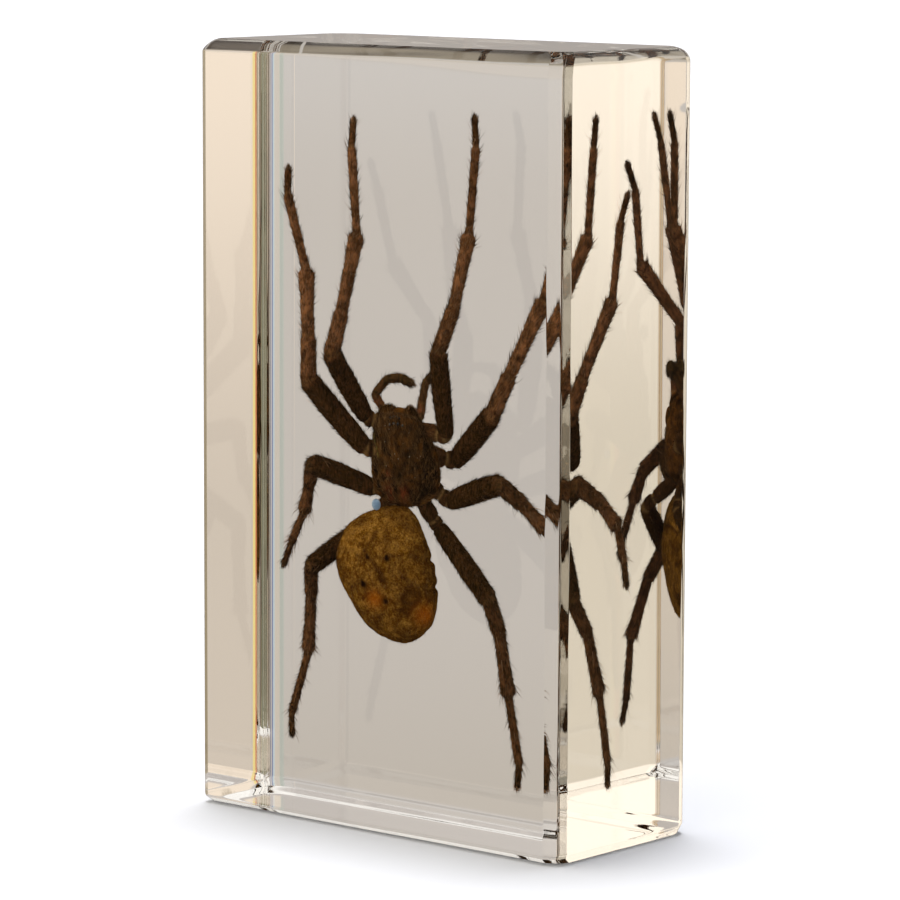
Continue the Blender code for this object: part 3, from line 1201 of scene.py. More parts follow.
@dataclass(frozen=True)
class BodyFrame:
    """Place of a body part, turned about the vertical with the whole spider."""

    base: Triple
    turn: float = 14.0

    def place(self, points: Numbers) -> Numbers:
        """Points of the part's own frame, turned about the vertical by the turn and moved to the base.

        Args:
            points: Points in the part's own frame, along the last axis.

        Returns:
            The points in the block's frame.
        """
        c, s = math.cos(math.radians(self.turn)), math.sin(math.radians(self.turn))
        x, y = points[..., 0], points[..., 1]
        turned = np.stack((c * x - s * y, s * x + c * y, points[..., 2]), -1)
        return turned + np.asarray(self.base)

    def skin(self, grid: Numbers, finish: int = SKIN, marks: Mapping[str, Any] | None = None) -> Skin:
        """Closed skin over rings in the part's own frame."""
        return closed_skin(self.place(grid), finish, marks)


@dataclass
class Cephalothorax:
    """Carapace, jaws, eyes and underside, grown as one, with fine hairs.

    In its own frame Z runs from the waist to the head, and -Y is the back, which faces the front of the
    block. Shifts, half widths, rises and undersides belong to the heights, borders to the border heights.
    """

    where: BodyFrame = BodyFrame((0.0, -2.6, 45.5))
    heights: tuple[float, ...] = (0.0, 0.8, 2.5, 5.0, 7.5, 10.0, 12.0, 13.3)
    shifts: tuple[float, ...] = (0.0, 0.0, 0.2, 0.2, 0.0, -0.5, -0.9, -1.2)
    half_widths: tuple[float, ...] = (1.6, 3.8, 5.4, 5.8, 5.6, 4.7, 3.9, 3.2)
    rises: tuple[float, ...] = (0.6, 1.5, 2.2, 2.7, 3.0, 3.3, 3.2, 2.4)
    undersides: tuple[float, ...] = (1.0, 2.0, 3.2, 3.8, 3.8, 3.5, 3.0, 2.2)
    rings: int = 110
    places: int = 96
    # Sideways place and height of the pit at the middle of the back
    fovea: tuple[float, float] = (-0.4, 4.2)
    border_heights: tuple[float, ...] = (0.0, 0.8, 2.4, 5.0, 7.3, 10.6, 12.0, 13.3)
    left_border: tuple[float, ...] = (-1.8, -2.8, -3.6, -4.1, -4.4, -5.3, -5.0, -4.4)
    right_border: tuple[float, ...] = (1.4, 2.1, 2.9, 3.4, 3.5, 3.6, 3.2, 2.6)
    # Sideways place, height and radius of each reddish patch
    rusty: tuple[Triple, ...] = ((-2.2, 1.9, 0.8), (0.3, 2.2, 0.75), (-2.3, 4.4, 0.45))
    groove_clocks: tuple[float, ...] = (28, 62, 98, 136, -28, -62, -98, -136)
    # Sideways place and half width of each jaw
    jaws: tuple[tuple[float, float], ...] = ((-2.6, 2.1), (0.9, 1.5))
    jaw_height: float = 12.2
    crumbs: int = 14
    hair_count: int = 6500
    brush_count: int = 420

    def section(self, z: Numbers) -> tuple[Numbers, Numbers, Numbers, Numbers]:
        """Cross section at heights: the values at the stations, eased, and rounded off at both ends.

        The rounding is the root of one minus the square of the share of its length.

        Args:
            z: Heights in the part's own frame.

        Returns:
            Shift, half width, rise and underside at each height.
        """
        end = self.heights[-1]
        cap = np.sqrt(np.clip(1 - (np.clip(z - (end - 1.1), 0, None) / 1.12) ** 2, 0.02, 1))
        tail = np.sqrt(np.clip(1 - (np.clip(0.5 - z, 0, None) / 0.52) ** 2, 0.02, 1))
        stations = (self.shifts, self.half_widths, self.rises, self.undersides)
        shift, half, rise, under = (eased(z, self.heights, values) for values in stations)
        return shift, half * cap * tail, rise * cap * tail, under * cap * tail

    def shell(self) -> tuple[Numbers, dict[str, Numbers]]:
        """Rings of carapace and underside, with their marks.

        A ring is half a superellipse for the back and half another, flatter, for the underside. The back has
        a pit at the middle, grooves that run out from it between the legs' roots and a furrow on each side of
        the head. Past its borders it steps down to the legs' hips, a wave of low humps. The underside has a
        raised breastplate. Fine grain roughens both.

        Returns:
            Points by ring and place in the part's own frame, and the marks tone, groove, membrane and rust.
        """
        z = self.heights[-1] * (0.5 - 0.5 * np.cos(np.linspace(0, math.pi, self.rings)))[:, None]
        shift, half, rise, under = self.section(z)
        turn = whole_turn(self.places)[None, :]
        sine, cosine = np.sin(turn), np.cos(turn)
        x = shift + half * np.sign(cosine) * np.abs(cosine) ** 0.94
        y = np.where(sine > 0, under * np.abs(sine) ** 0.8, -rise * np.abs(sine) ** 0.92)
        grid = np.stack((x, y, np.broadcast_to(z, x.shape)), -1)
        back = ramp(-sine, 0.0, 0.25)
        dx, dz = x - self.fovea[0], z - self.fovea[1]
        away, clock = np.hypot(dx, dz), np.arctan2(dx, dz)
        pit = bell(dx, 0.3) * bell(dz, 0.85)
        groove = np.zeros_like(x)
        for degrees in self.groove_clocks:
            off = clock - math.radians(degrees)
            width = 0.22 + 0.05 * away
            line = np.exp(-((away * np.sin(off)) / width) ** 2) * (np.cos(off) > 0) * ramp(away, 0.5, 1.4)
            groove = np.maximum(groove, line * (1 - 0.5 * ramp(away, 3.5, 5.5)))
        furrow_x = shift + (z - self.fovea[1]) * 0.62
        head = ramp(z, 5.2, 6.6) * (1 - ramp(z, 10.0, 11.6))
        furrow = head * (bell(x - furrow_x, 0.35) + bell(x - (2 * shift - furrow_x) + 0.4, 0.35))
        left = eased(z, self.border_heights, self.left_border)
        right = eased(z, self.border_heights, self.right_border)
        beyond = np.maximum(ramp(x - right, -0.1, 0.3), ramp(left - x, -0.1, 0.3)) * back
        hip = 0.5 + 0.5 * np.sin(2.0 * math.pi * (z + 0.35 * np.abs(x)) / 3.3)
        groove, furrow = groove * (1 - beyond), furrow * (1 - beyond)
        lift = -0.45 * pit * back - 0.2 * groove * back - 0.18 * furrow * back - beyond * (0.95 - 0.5 * hip)
        plate = ramp(sine, 0.45, 0.75) * bell(x - shift, 3.3) * ramp(z, 1.6, 2.6) * (1 - ramp(z, 8.6, 9.4))
        lift += 0.22 * plate
        lift += 0.1 * Grain(1.1, 21, 3).at(grid) + 0.045 * Grain(0.4, 22, 2).at(grid)
        rust = np.zeros_like(x)
        for sideways, height, radius in self.rusty:
            rust = np.maximum(rust, bell(np.hypot(x - sideways, 0.7 * (z - height)), radius))
        # A pale line along the left border only: a painted highlight where the left edge catches the light.
        rim = bell(x - left - 0.12, 0.2) * ramp(z, 6.2, 7.4) * (1 - ramp(z, 11.2, 12.2)) * back
        # Painted shade: darker in the pit, the grooves and the furrows, and past the borders, where the back
        # steps down to the hips.
        dark = 0.9 * pit * back + 0.65 * groove * back + 0.5 * furrow * back + 0.75 * beyond
        marks = {
            "groove": np.clip(dark, 0, 1),
            "tone": np.clip(0.42 + 0.35 * Grain(2.2, 23, 2).at(grid) + 0.35 * plate, 0, 1),
            "membrane": 0.75 * rim,
            "rust": np.clip(rust * back, 0, 1),
        }
        return relief(grid, lift), marks

    def back_at(self, x: float, z: float) -> float:
        """Depth coordinate of the back at a sideways place and height."""
        shift, half, rise, _ = self.section(np.array(z))
        return float(-rise * math.sqrt(max(0.0, 1 - ((x - shift) / half) ** 2)))

    def jaw_skins(self) -> tuple[list[Skin], list[Numbers]]:
        """The two jaw bases with their grids, and under each its fang: a curved cone.

        Returns:
            The skins, and the rings of each jaw base in the part's own frame.
        """
        skins, grids = [], []
        for shift, half in self.jaws:
            grid = ellipsoid_grid((shift, 0.3, self.jaw_height), (half, 1.7, 1.95), 34, 36)
            grid = relief(grid, 0.1 * Grain(0.9, 31, 3).at(grid))
            tone = 0.25 + 0.3 * Grain(1.3, 32, 2).at(grid)
            # Painted shade where the two jaws meet.
            seam = bell(grid[..., 0] - (self.jaws[0][0] + self.jaws[1][0]) / 2 - 0.1, 0.35)
            grids.append(grid)
            skins.append(self.where.skin(grid, marks={"tone": np.clip(tone, 0, 1), "groove": 0.7 * seam}))
            bends = ((0.0, 1.5, 13.7), (0.1, 2.35, 13.1), (0.25, 2.75, 12.0), (0.3, 2.6, 11.0))
            path = np.array(bends) + (shift, 0, 0)
            fang = spike(path, radius=0.34, steps=24, places=12, guide=(1.0, 0.0, 0.0), end=0.004)
            skins.append(self.where.skin(fang, marks={"tone": 0.9}))
        return skins, grids

    def mouth_skins(self) -> list[Skin]:
        """Mouth parts under the head, the brow between the jaws, and the waist that reaches into the abdomen.

        Returns:
            Their skins.
        """
        skins = []
        for centre, radii in (
            ((-2.25, 2.9, 10.3), (0.95, 0.85, 1.7)),
            ((0.65, 2.9, 10.3), (0.95, 0.85, 1.7)),
            ((-0.75, 3.35, 9.5), (0.75, 0.55, 0.95)),
            ((-0.75, -0.1, 12.3), (2.0, 1.3, 1.62)),
        ):
            grid = ellipsoid_grid(centre, radii, 22, 24)
            grid = relief(grid, 0.05 * Grain(0.6, 41, 2).at(grid))
            skins.append(self.where.skin(grid, marks={"tone": 0.75}))
        waist = bent_path(((0.0, 0.3, 1.2), (0.0, 0.4, 0.0), (-0.3, 0.3, -1.6)), 20)
        grid = swept_grid(waist, 0.75 + 0.12 * np.sin(np.linspace(0, 9, 20)), 20)
        skins.append(self.where.skin(grid, marks={"tone": 0.4}))
        return skins

    def eye_skins(self) -> list[Skin]:
        """Eight eyes in two rows across the front of the head.

        Returns:
            Their skins.
        """
        skins = []
        for height, radius, spread in ((12.75, 0.2, 0.52), (11.85, 0.26, 0.72)):
            shift = float(eased(np.array(height), self.heights, self.shifts))
            for step in (-1.5, -0.5, 0.5, 1.5):
                x = shift + step * spread
                z = height - 0.1 * step * step
                centre = (x, self.back_at(x, z) - 0.03, z)
                grid = ellipsoid_grid(centre, (radius, radius * 0.8, radius), 10, 14)
                skins.append(self.where.skin(grid, EYES))
        return skins

    def crumb_skins(self) -> list[Skin]:
        """A few pale crumbs on the back: ellipsoids of at most a tenth of a millimetre.

        Returns:
            Their skins.
        """
        draw = np.random.default_rng(51)
        skins = []
        for _ in range(self.crumbs):
            z = draw.uniform(2.5, 11.5)
            x = float(eased(np.array(z), self.heights, self.shifts)) + draw.uniform(-3.4, 3.4)
            radii = tuple(draw.uniform(0.05, 0.1, 3))
            grid = ellipsoid_grid((x, self.back_at(x, z) - 0.08, z), radii, 6, 8)
            skins.append(self.where.skin(grid, CRUMBS))
        return skins

    def hair_skins(self, shell: Numbers, jaw_grids: Sequence[Numbers]) -> list[Skin]:
        """Fine hairs that lie towards the head, thicker on the back, and a brush on the jaws.

        Args:
            shell: Rings of carapace and underside.
            jaw_grids: Rings of each jaw base.

        Returns:
            The hairs' skins.
        """
        thick = 0.35 + ramp(-shell[..., 1], -0.5, 1.0)
        fine = Bristles(length=(0.35, 0.8), radius=0.032, tilt=(58, 82), clump=0.35, clumped=0.5)
        brush = Bristles(length=(0.3, 0.6), radius=0.028, tilt=(40, 70))
        skins = [fine.cover(self.where.place(shell), thick, self.hair_count, (61, 62))]
        for number, grid in enumerate(jaw_grids):
            up = 0.15 + ramp(grid[..., 2], self.jaw_height - 1.0, self.jaw_height + 1.6)
            seeds = (63 + number, 66 + number)
            skins.append(brush.cover(self.where.place(grid), up, self.brush_count, seeds, way=-1.0))
        return skins

    def build(self, finishes: Sequence[bpy.types.Material]) -> bpy.types.Object:
        """Builds the piece.

        Args:
            finishes: Materials of skin, hairs, eyes and crumbs.

        Returns:
            The object.
        """
        shell, marks = self.shell()
        jaws, jaw_grids = self.jaw_skins()
        skins = [self.where.skin(shell, marks=marks), *jaws, *self.mouth_skins()]
        skins += [*self.eye_skins(), *self.crumb_skins(), *self.hair_skins(shell, jaw_grids)]
        return make_piece("spider_cephalothorax", skins, finishes, ["cephalothorax"])


@dataclass
class Abdomen:
    """Dried egg-shaped abdomen: granular, wrinkled and pitted, leaning to the left.

    In its own frame Z runs down from the waist, and -Y is the back.
    """

    where: BodyFrame = BodyFrame((0.0, -2.8, 45.5))
    length: float = 19.3
    half_width: float = 8.5
    rise: float = 5.0
    underside: float = 3.4
    end_shift: float = -0.2
    sway: float = -3.1
    sway_power: float = 0.58
    rings: int = 150
    places: int = 132
    # Sideways place, depth below the waist and radius of each pit on the back, dented and darkened by painted
    # shade
    pits: tuple[Triple, ...] = (
        (-5.4, 7.15, 0.46),
        (-2.0, 7.05, 0.5),
        (-0.4, 7.9, 0.2),
        (-6.2, 11.1, 0.52),
        (-2.3, 11.1, 0.3),
        (-2.2, 13.3, 0.46),
        (-0.8, 16.0, 0.22),
        (-4.6, 4.6, 0.24),
        (-1.2, 4.2, 0.22),
    )
    # The same of each orange spot
    glows: tuple[Triple, ...] = ((-4.1, 13.1, 1.2), (4.2, 14.9, 1.6))
    # Depth below the waist and reach of each notch in the right rim
    notches: tuple[tuple[float, float], ...] = ((7.1, 0.45), (10.9, 0.4), (9.0, 0.15))
    # Sideways place, depth and radius of a patch of painted shade
    shadow: Triple = (2.4, 12.0, 1.9)
    # Sideways place, length and radius of each spinneret
    spinnerets: tuple[Triple, ...] = (
        (-1.35, 1.5, 0.42),
        (-0.25, 1.5, 0.42),
        (-1.85, 1.1, 0.3),
        (0.25, 1.1, 0.3),
    )
    hair_count: int = 2600

    def girth(self, share: Numbers) -> Numbers:
        """Girth of the egg: the root of one minus the square of twice the share minus one."""
        return np.sqrt(np.clip(1 - (2 * share - 1) ** 2, 0.0004, 1))

    def shell(self) -> tuple[Numbers, dict[str, Numbers]]:
        """Rings of the abdomen with their marks.

        Each ring is half an ellipse for the back and half a flatter one for the underside, about a middle
        line that sways by the sine of a power of the share. On it come broad dents, folds that run round the
        rim, fine grain, round pits, notches in the right rim, and under it a furrow across.

        Returns:
            Points by ring and place in the part's own frame, and the marks groove, glow, dull and pit.
        """
        share = (0.5 - 0.5 * np.cos(np.linspace(0.02, math.pi - 0.02, self.rings)))[:, None]
        turn = whole_turn(self.places)[None, :]
        girth = self.girth(share)
        middle = self.end_shift + self.sway * np.sin(math.pi * share**self.sway_power)
        sine, cosine = np.sin(turn), np.cos(turn)
        x = middle + self.half_width * girth * cosine
        y = np.where(sine > 0, self.underside, self.rise) * girth * sine
        down = self.length * share * np.ones_like(turn)
        grid = np.stack((x, y, -down), -1)
        back = ramp(-sine, -0.15, 0.3)
        rim = 1 - ramp(np.abs(sine) * np.ones_like(share), 0.1, 0.75)
        folds = np.sin(5.2 * np.abs(y) + 2.5 * Grain(4.0, 71, 2).at(grid)) * rim
        lift = 0.38 * Grain(4.6, 72, 2).at(grid) + 0.16 * Grain(1.6, 73, 3).at(grid)
        lift += 0.06 * Grain(0.5, 74, 2).at(grid) + 0.08 * folds
        holes = np.zeros_like(x)
        ragged = 1 + 0.45 * Grain(0.7, 77, 2).at(grid)
        for place, depth, radius in self.pits:
            reach = np.hypot(x - place, 0.8 * (down - depth) - 0.3 * (x - place))
            holes = np.maximum(holes, min(1.0, 1.9 * radius) * bell(reach * ragged, radius))
        lift -= 0.3 * holes * back
        for depth, reach in self.notches:
            lift -= reach * bell(down - depth, 0.42) * ramp(cosine, 0.5, 0.95)
        under = ramp(sine, 0.1, 0.4)
        furrow = under * bell(down - 5.4 - 0.05 * (x - middle) ** 2, 0.35) * (np.abs(x - middle) < 5)
        lift -= 0.3 * furrow
        glow = np.zeros_like(x)
        for place, depth, radius in self.glows:
            glow = np.maximum(glow, bell(np.hypot(x - place, down - depth), radius))
        # Painted shade: a patch on the right, and darker towards the rim and both ends, where the egg turns
        # away from the light.
        sx, sz, radius = self.shadow
        shade = bell(np.hypot(x - sx, down - sz), radius)
        edge = 1 - ramp(np.abs(sine) * np.ones_like(share), 0.12, 0.5)
        ends = 1 - ramp(girth * np.ones_like(turn), 0.2, 0.55)
        # One mark of painted shade: the pits, the patch, the rim and ends, and the furrow underneath.
        groove = 0.95 * holes * back + 0.55 * shade * back + 0.4 * np.maximum(edge, ends) + 0.8 * furrow
        dull = 0.8 * ramp(down, 4.0, 9.5) + 0.5 * bell(np.hypot(x + 1.6, 0.6 * (down - 9.5)), 2.6)
        marks = {"groove": groove, "glow": 0.8 * glow * back, "dull": dull, "pit": holes * back}
        return relief(grid, lift - 0.12), {name: np.clip(values, 0, 1) for name, values in marks.items()}

    def spinneret_skins(self) -> list[Skin]:
        """Spinnerets: four short cones under the lower end, two long and two short.

        Returns:
            Their skins.
        """
        skins = []
        for x, length, radius in self.spinnerets:
            path = ((x, 0.9, -17.0), (x, 1.7, -17.2 - 0.35 * length), (x, 1.9, -17.1 - 0.75 * length))
            grid = spike(path, radius, steps=20, places=14, guide=(1.0, 0.0, 0.0))
            skins.append(self.where.skin(grid))
        return skins

    def build(self, finishes: Sequence[bpy.types.Material]) -> bpy.types.Object:
        """Builds the piece.

        Args:
            finishes: Materials of skin and hairs.

        Returns:
            The object.
        """
        shell, marks = self.shell()
        down = Bristles(length=(0.25, 0.6), radius=0.017, tilt=(50, 76))
        hairs = down.cover(self.where.place(shell), np.ones(shell.shape[:2]), self.hair_count, (81, 82))
        skins = [self.where.skin(shell, marks=marks), *self.spinneret_skins(), hairs]
        return make_piece("spider_abdomen", skins, finishes, ["abdomen"])


# ---------------------------------------------------------------- the limbs


def heading(clock: float, lean: float) -> Numbers:
    """Unit vector of a clock angle seen from the front, from straight up, and a lean back, in degrees."""
    c, s = math.radians(clock), math.radians(lean)
    return np.array((math.sin(c) * math.cos(s), math.sin(s), math.cos(c) * math.cos(s)))


@dataclass
class Limb:
    """A leg or palp: a row of segments with necks of pale membrane between them, and its hairs."""

    node: str
    slot: str
    root: Triple
    start: Triple
    lengths: tuple[float, ...]
    headings: tuple[tuple[float, float], ...]
    # For each segment: radius at the joint that starts it, then (share of the length, radius) along it
    profile: tuple[tuple[float, tuple[tuple[float, float], ...]], ...]
    root_radius: float
    tip_radius: float
    girth: float
    tones: tuple[float, ...]
    seed: int
    # Distance between rings, points in a ring, and how far the first segment bows
    step: float = 0.12
    places: int = 22
    bow: float = 0.35
    # Coxa and trochanter: share of the way from the root to the first segment, and share of its radius
    hip: tuple[tuple[float, float], ...] = (
        (0.42, 1.28),
        (0.66, 1.12),
        (0.71, 0.8),
        (0.77, 1.1),
        (0.93, 1.12),
    )
    # How far each joint narrows, from the one that starts the first segment
    necks: tuple[float, ...] = (0.84, 1.0, 1.0, 0.95, 0.95)
    hairs_per_mm: float = 78.0
    hair_length: tuple[float, float] = (0.3, 0.75)
    fringe_per_mm: float = 6.0
    fringe_length: tuple[float, float] = (0.45, 1.05)
    spines: int = 110
    tuft_count: int = 150
    claws: bool = True

    def joints(self) -> Numbers:
        """The root, then the start and the end of each segment: each joint plus the length times the heading.

        Returns:
            The joints, one in a row.
        """
        runs = np.array([length * heading(*angles) for length, angles in zip(self.lengths, self.headings)])
        first = np.asarray(self.start, float)
        return np.concatenate(([self.root], [first], first + np.cumsum(runs, axis=0)))

    def line(self) -> tuple[Numbers, Numbers, Numbers]:
        """Middle line, place of each of its points along it, and the joints' places.

        The line runs straight from joint to joint and has its bends rounded by a blur. The first segment past
        the root bows by the sine of its share, towards the side that the limb's knee points to.

        Returns:
            Points, places in millimetres, and places of the joints.
        """
        joints = self.joints()
        marks = np.concatenate(([0.0], np.cumsum(np.linalg.norm(np.diff(joints, axis=0), axis=1))))
        at = np.linspace(0, marks[-1], int(marks[-1] / self.step) + 1)
        path = np.stack([np.interp(at, marks, joints[:, k]) for k in range(3)], -1)
        knee = unit(joints[2] - 0.5 * (joints[1] + joints[3]))
        arch = np.sin(math.pi * np.clip((at - marks[1]) / (marks[2] - marks[1]), 0, 1))
        path = path + self.bow * arch[:, None] * knee
        return smoothed(path, 0.32 * self.girth / self.step), at, marks

    def radii(self, at: Numbers, marks: Numbers) -> Numbers:
        """Radius along the limb.

        Each segment swells from a neck, runs through its given radii, and ends in a slight flare before the
        next neck. The coxa and the trochanter stand between the root and the first segment. The tip is
        rounded off by the root of one minus the square of its share.

        Args:
            at: Places along the limb.
            marks: Places of the joints.

        Returns:
            The radius at each place.
        """
        first = self.profile[0][0]
        knots = [(0.0, self.root_radius), (marks[-1], self.tip_radius)]
        knots += [(marks[1] * share, first * times) for share, times in self.hip]
        ends = [joint for joint, _ in self.profile[1:]] + [None]
        for number, (joint, along) in enumerate(self.profile):
            low, length = marks[number + 1], marks[number + 2] - marks[number + 1]
            knots.append((low, joint * self.necks[number]))
            knots.append((low + min(0.4, 0.1 * length), 0.5 * (joint + along[0][1])))
            knots += [(low + share * length, radius) for share, radius in along]
            if ends[number] is not None:
                knots.append((low + length - min(0.34, 0.1 * length), max(along[-1][1], ends[number])))
        places, values = zip(*sorted(knots))
        radius = smoothed(np.interp(at, places, values), 0.1 / self.step)
        left = marks[-1] - at
        tip = 1.4 * self.tip_radius
        radius = radius * np.sqrt(np.clip(1 - (np.clip(tip - left, 0, None) / (tip * 1.01)) ** 2, 0.01, 1))
        return radius * self.girth

    def tone_at(self, at: Numbers, marks: Numbers) -> Numbers:
        """Tone along the limb: that of the segment, blurred across the joints."""
        number = np.clip(np.searchsorted(marks, at, side="right") - 1, 0, len(self.tones) - 1)
        return smoothed(np.asarray(self.tones, float)[number], 5.0)

    def shell(self) -> tuple[Numbers, dict[str, Numbers], Numbers, Numbers]:
        """Rings of the limb with their marks.

        The radius is varied round the ring by a slight flattening and by shallow grooves along the limb, and
        by random grain, as dried skin is.

        Returns:
            Points by ring and place, the marks, the place of each ring and the joints' places.
        """
        path, at, marks = self.line()
        radius = self.radii(at, marks)
        turn, phase = whole_turn(self.places), 0.7 * self.seed
        shape = 1 + 0.05 * np.cos(2 * turn + phase) + 0.03 * np.cos(5 * turn + 2 * phase)
        grid = swept_grid(path, radius[:, None] * shape[None, :], self.places)
        grain = 0.07 * Grain(1.3, 100 + self.seed, 2).at(grid)
        grain += 0.05 * Grain(0.42, 130 + self.seed, 2).at(grid)
        grid = relief(grid, grain * np.minimum(1.0, radius[:, None]) * self.girth)
        joints_at = np.concatenate(([marks[1] * self.hip[2][0]], marks[1:-1]))
        strength = np.array([1.0, 0.9] + [0.15] * (len(joints_at) - 2))
        past = at[:, None] - joints_at
        kept = {
            "tone": self.tone_at(at, marks)[:, None],
            "membrane": (strength * bell(past, 0.24 * max(0.6, self.girth))).max(1)[:, None],
            "groove": 0.35 * bell(past - 0.45, 0.16).max(1)[:, None],
        }
        return grid, kept, at, marks

    def hair_skins(self, grid: Numbers, at: Numbers, marks: Numbers) -> list[Skin]:
        """Fine hairs and a fringe all over, spines on the outer segments, and the tuft of the tip.

        Args:
            grid: Rings of the limb.
            at: Place of each ring along it.
            marks: Places of its joints.

        Returns:
            The hairs' skins.
        """
        seed, length = self.seed, marks[-1]
        outer = ramp(at, marks[1], marks[2])[:, None]
        light = np.clip(0.5 + 0.65 * self.tone_at(at, marks), 0, 1)
        fine = Bristles(self.hair_length, radius=0.03, tilt=(50, 78), clump=0.3, clumped=0.35)
        fringe = Bristles(self.fringe_length, radius=0.036, tilt=(20, 55), droop=0.4)
        fine_count, fringe_count = int(self.hairs_per_mm * length), int(self.fringe_per_mm * length)
        skins = [
            fine.cover(grid, 0.4 + 0.6 * outer, fine_count, (200 + seed, 230 + seed), level=light),
            fringe.cover(grid, 0.3 + 0.7 * outer, fringe_count, (380 + seed, 410 + seed), level=0.5),
        ]
        if self.spines:
            far = ramp(at, marks[3] - 1.0, marks[3])
            knees = bell(at[:, None] - (marks[4:-1] - 0.8), 0.8).max(1)
            thick = (far * (1 + 3 * knees) + 0.05)[:, None]
            spines = Bristles(length=(0.8, 1.6), radius=0.045, tilt=(35, 62), droop=0.5)
            skins.append(spines.cover(grid, thick, self.spines, (260 + seed, 290 + seed)))
        end = ramp(at, length - 1.3, length - 0.5)[:, None] + 1e-6
        tuft = Bristles(length=(0.25, 0.6), radius=0.024, tilt=(30, 60))
        return [*skins, tuft.cover(grid, end, self.tuft_count, (320 + seed, 350 + seed))]

    def claw_skins(self, grid: Numbers) -> list[Skin]:
        """Two claws side by side at the tip: curved cones that bend back.

        Args:
            grid: Rings of the limb.

        Returns:
            The claws' skins.
        """
        tip, run = grid[-4].mean(0), unit(grid[-1].mean(0) - grid[-12].mean(0))
        side = unit(np.cross(run, np.array((0.0, 1.0, 0.0))))
        skins = []
        for sign in (-1, 1):
            bends = ((0.0, 0.12, 0.0), (0.4, 0.16, 0.0), (0.62, 0.2, 0.22))
            hook = [tip + ahead * run + sign * out * side + (0, back, 0) for ahead, out, back in bends]
            skins.append(closed_skin(spike(hook, radius=0.1, steps=12, places=7, guide=(0.0, 1.0, 0.0))))
        return skins

    def build(self, finishes: Sequence[bpy.types.Material]) -> bpy.types.Object:
        """Builds the piece.

        Args:
            finishes: Materials of skin and hairs.

        Returns:
            The object.
        """
        grid, kept, at, marks = self.shell()
        skins = [closed_skin(grid, SKIN, kept), *self.hair_skins(grid, at, marks)]
        skins += self.claw_skins(grid) if self.claws else []
        return make_piece(f"spider_{self.node}", skins, finishes, [self.node])


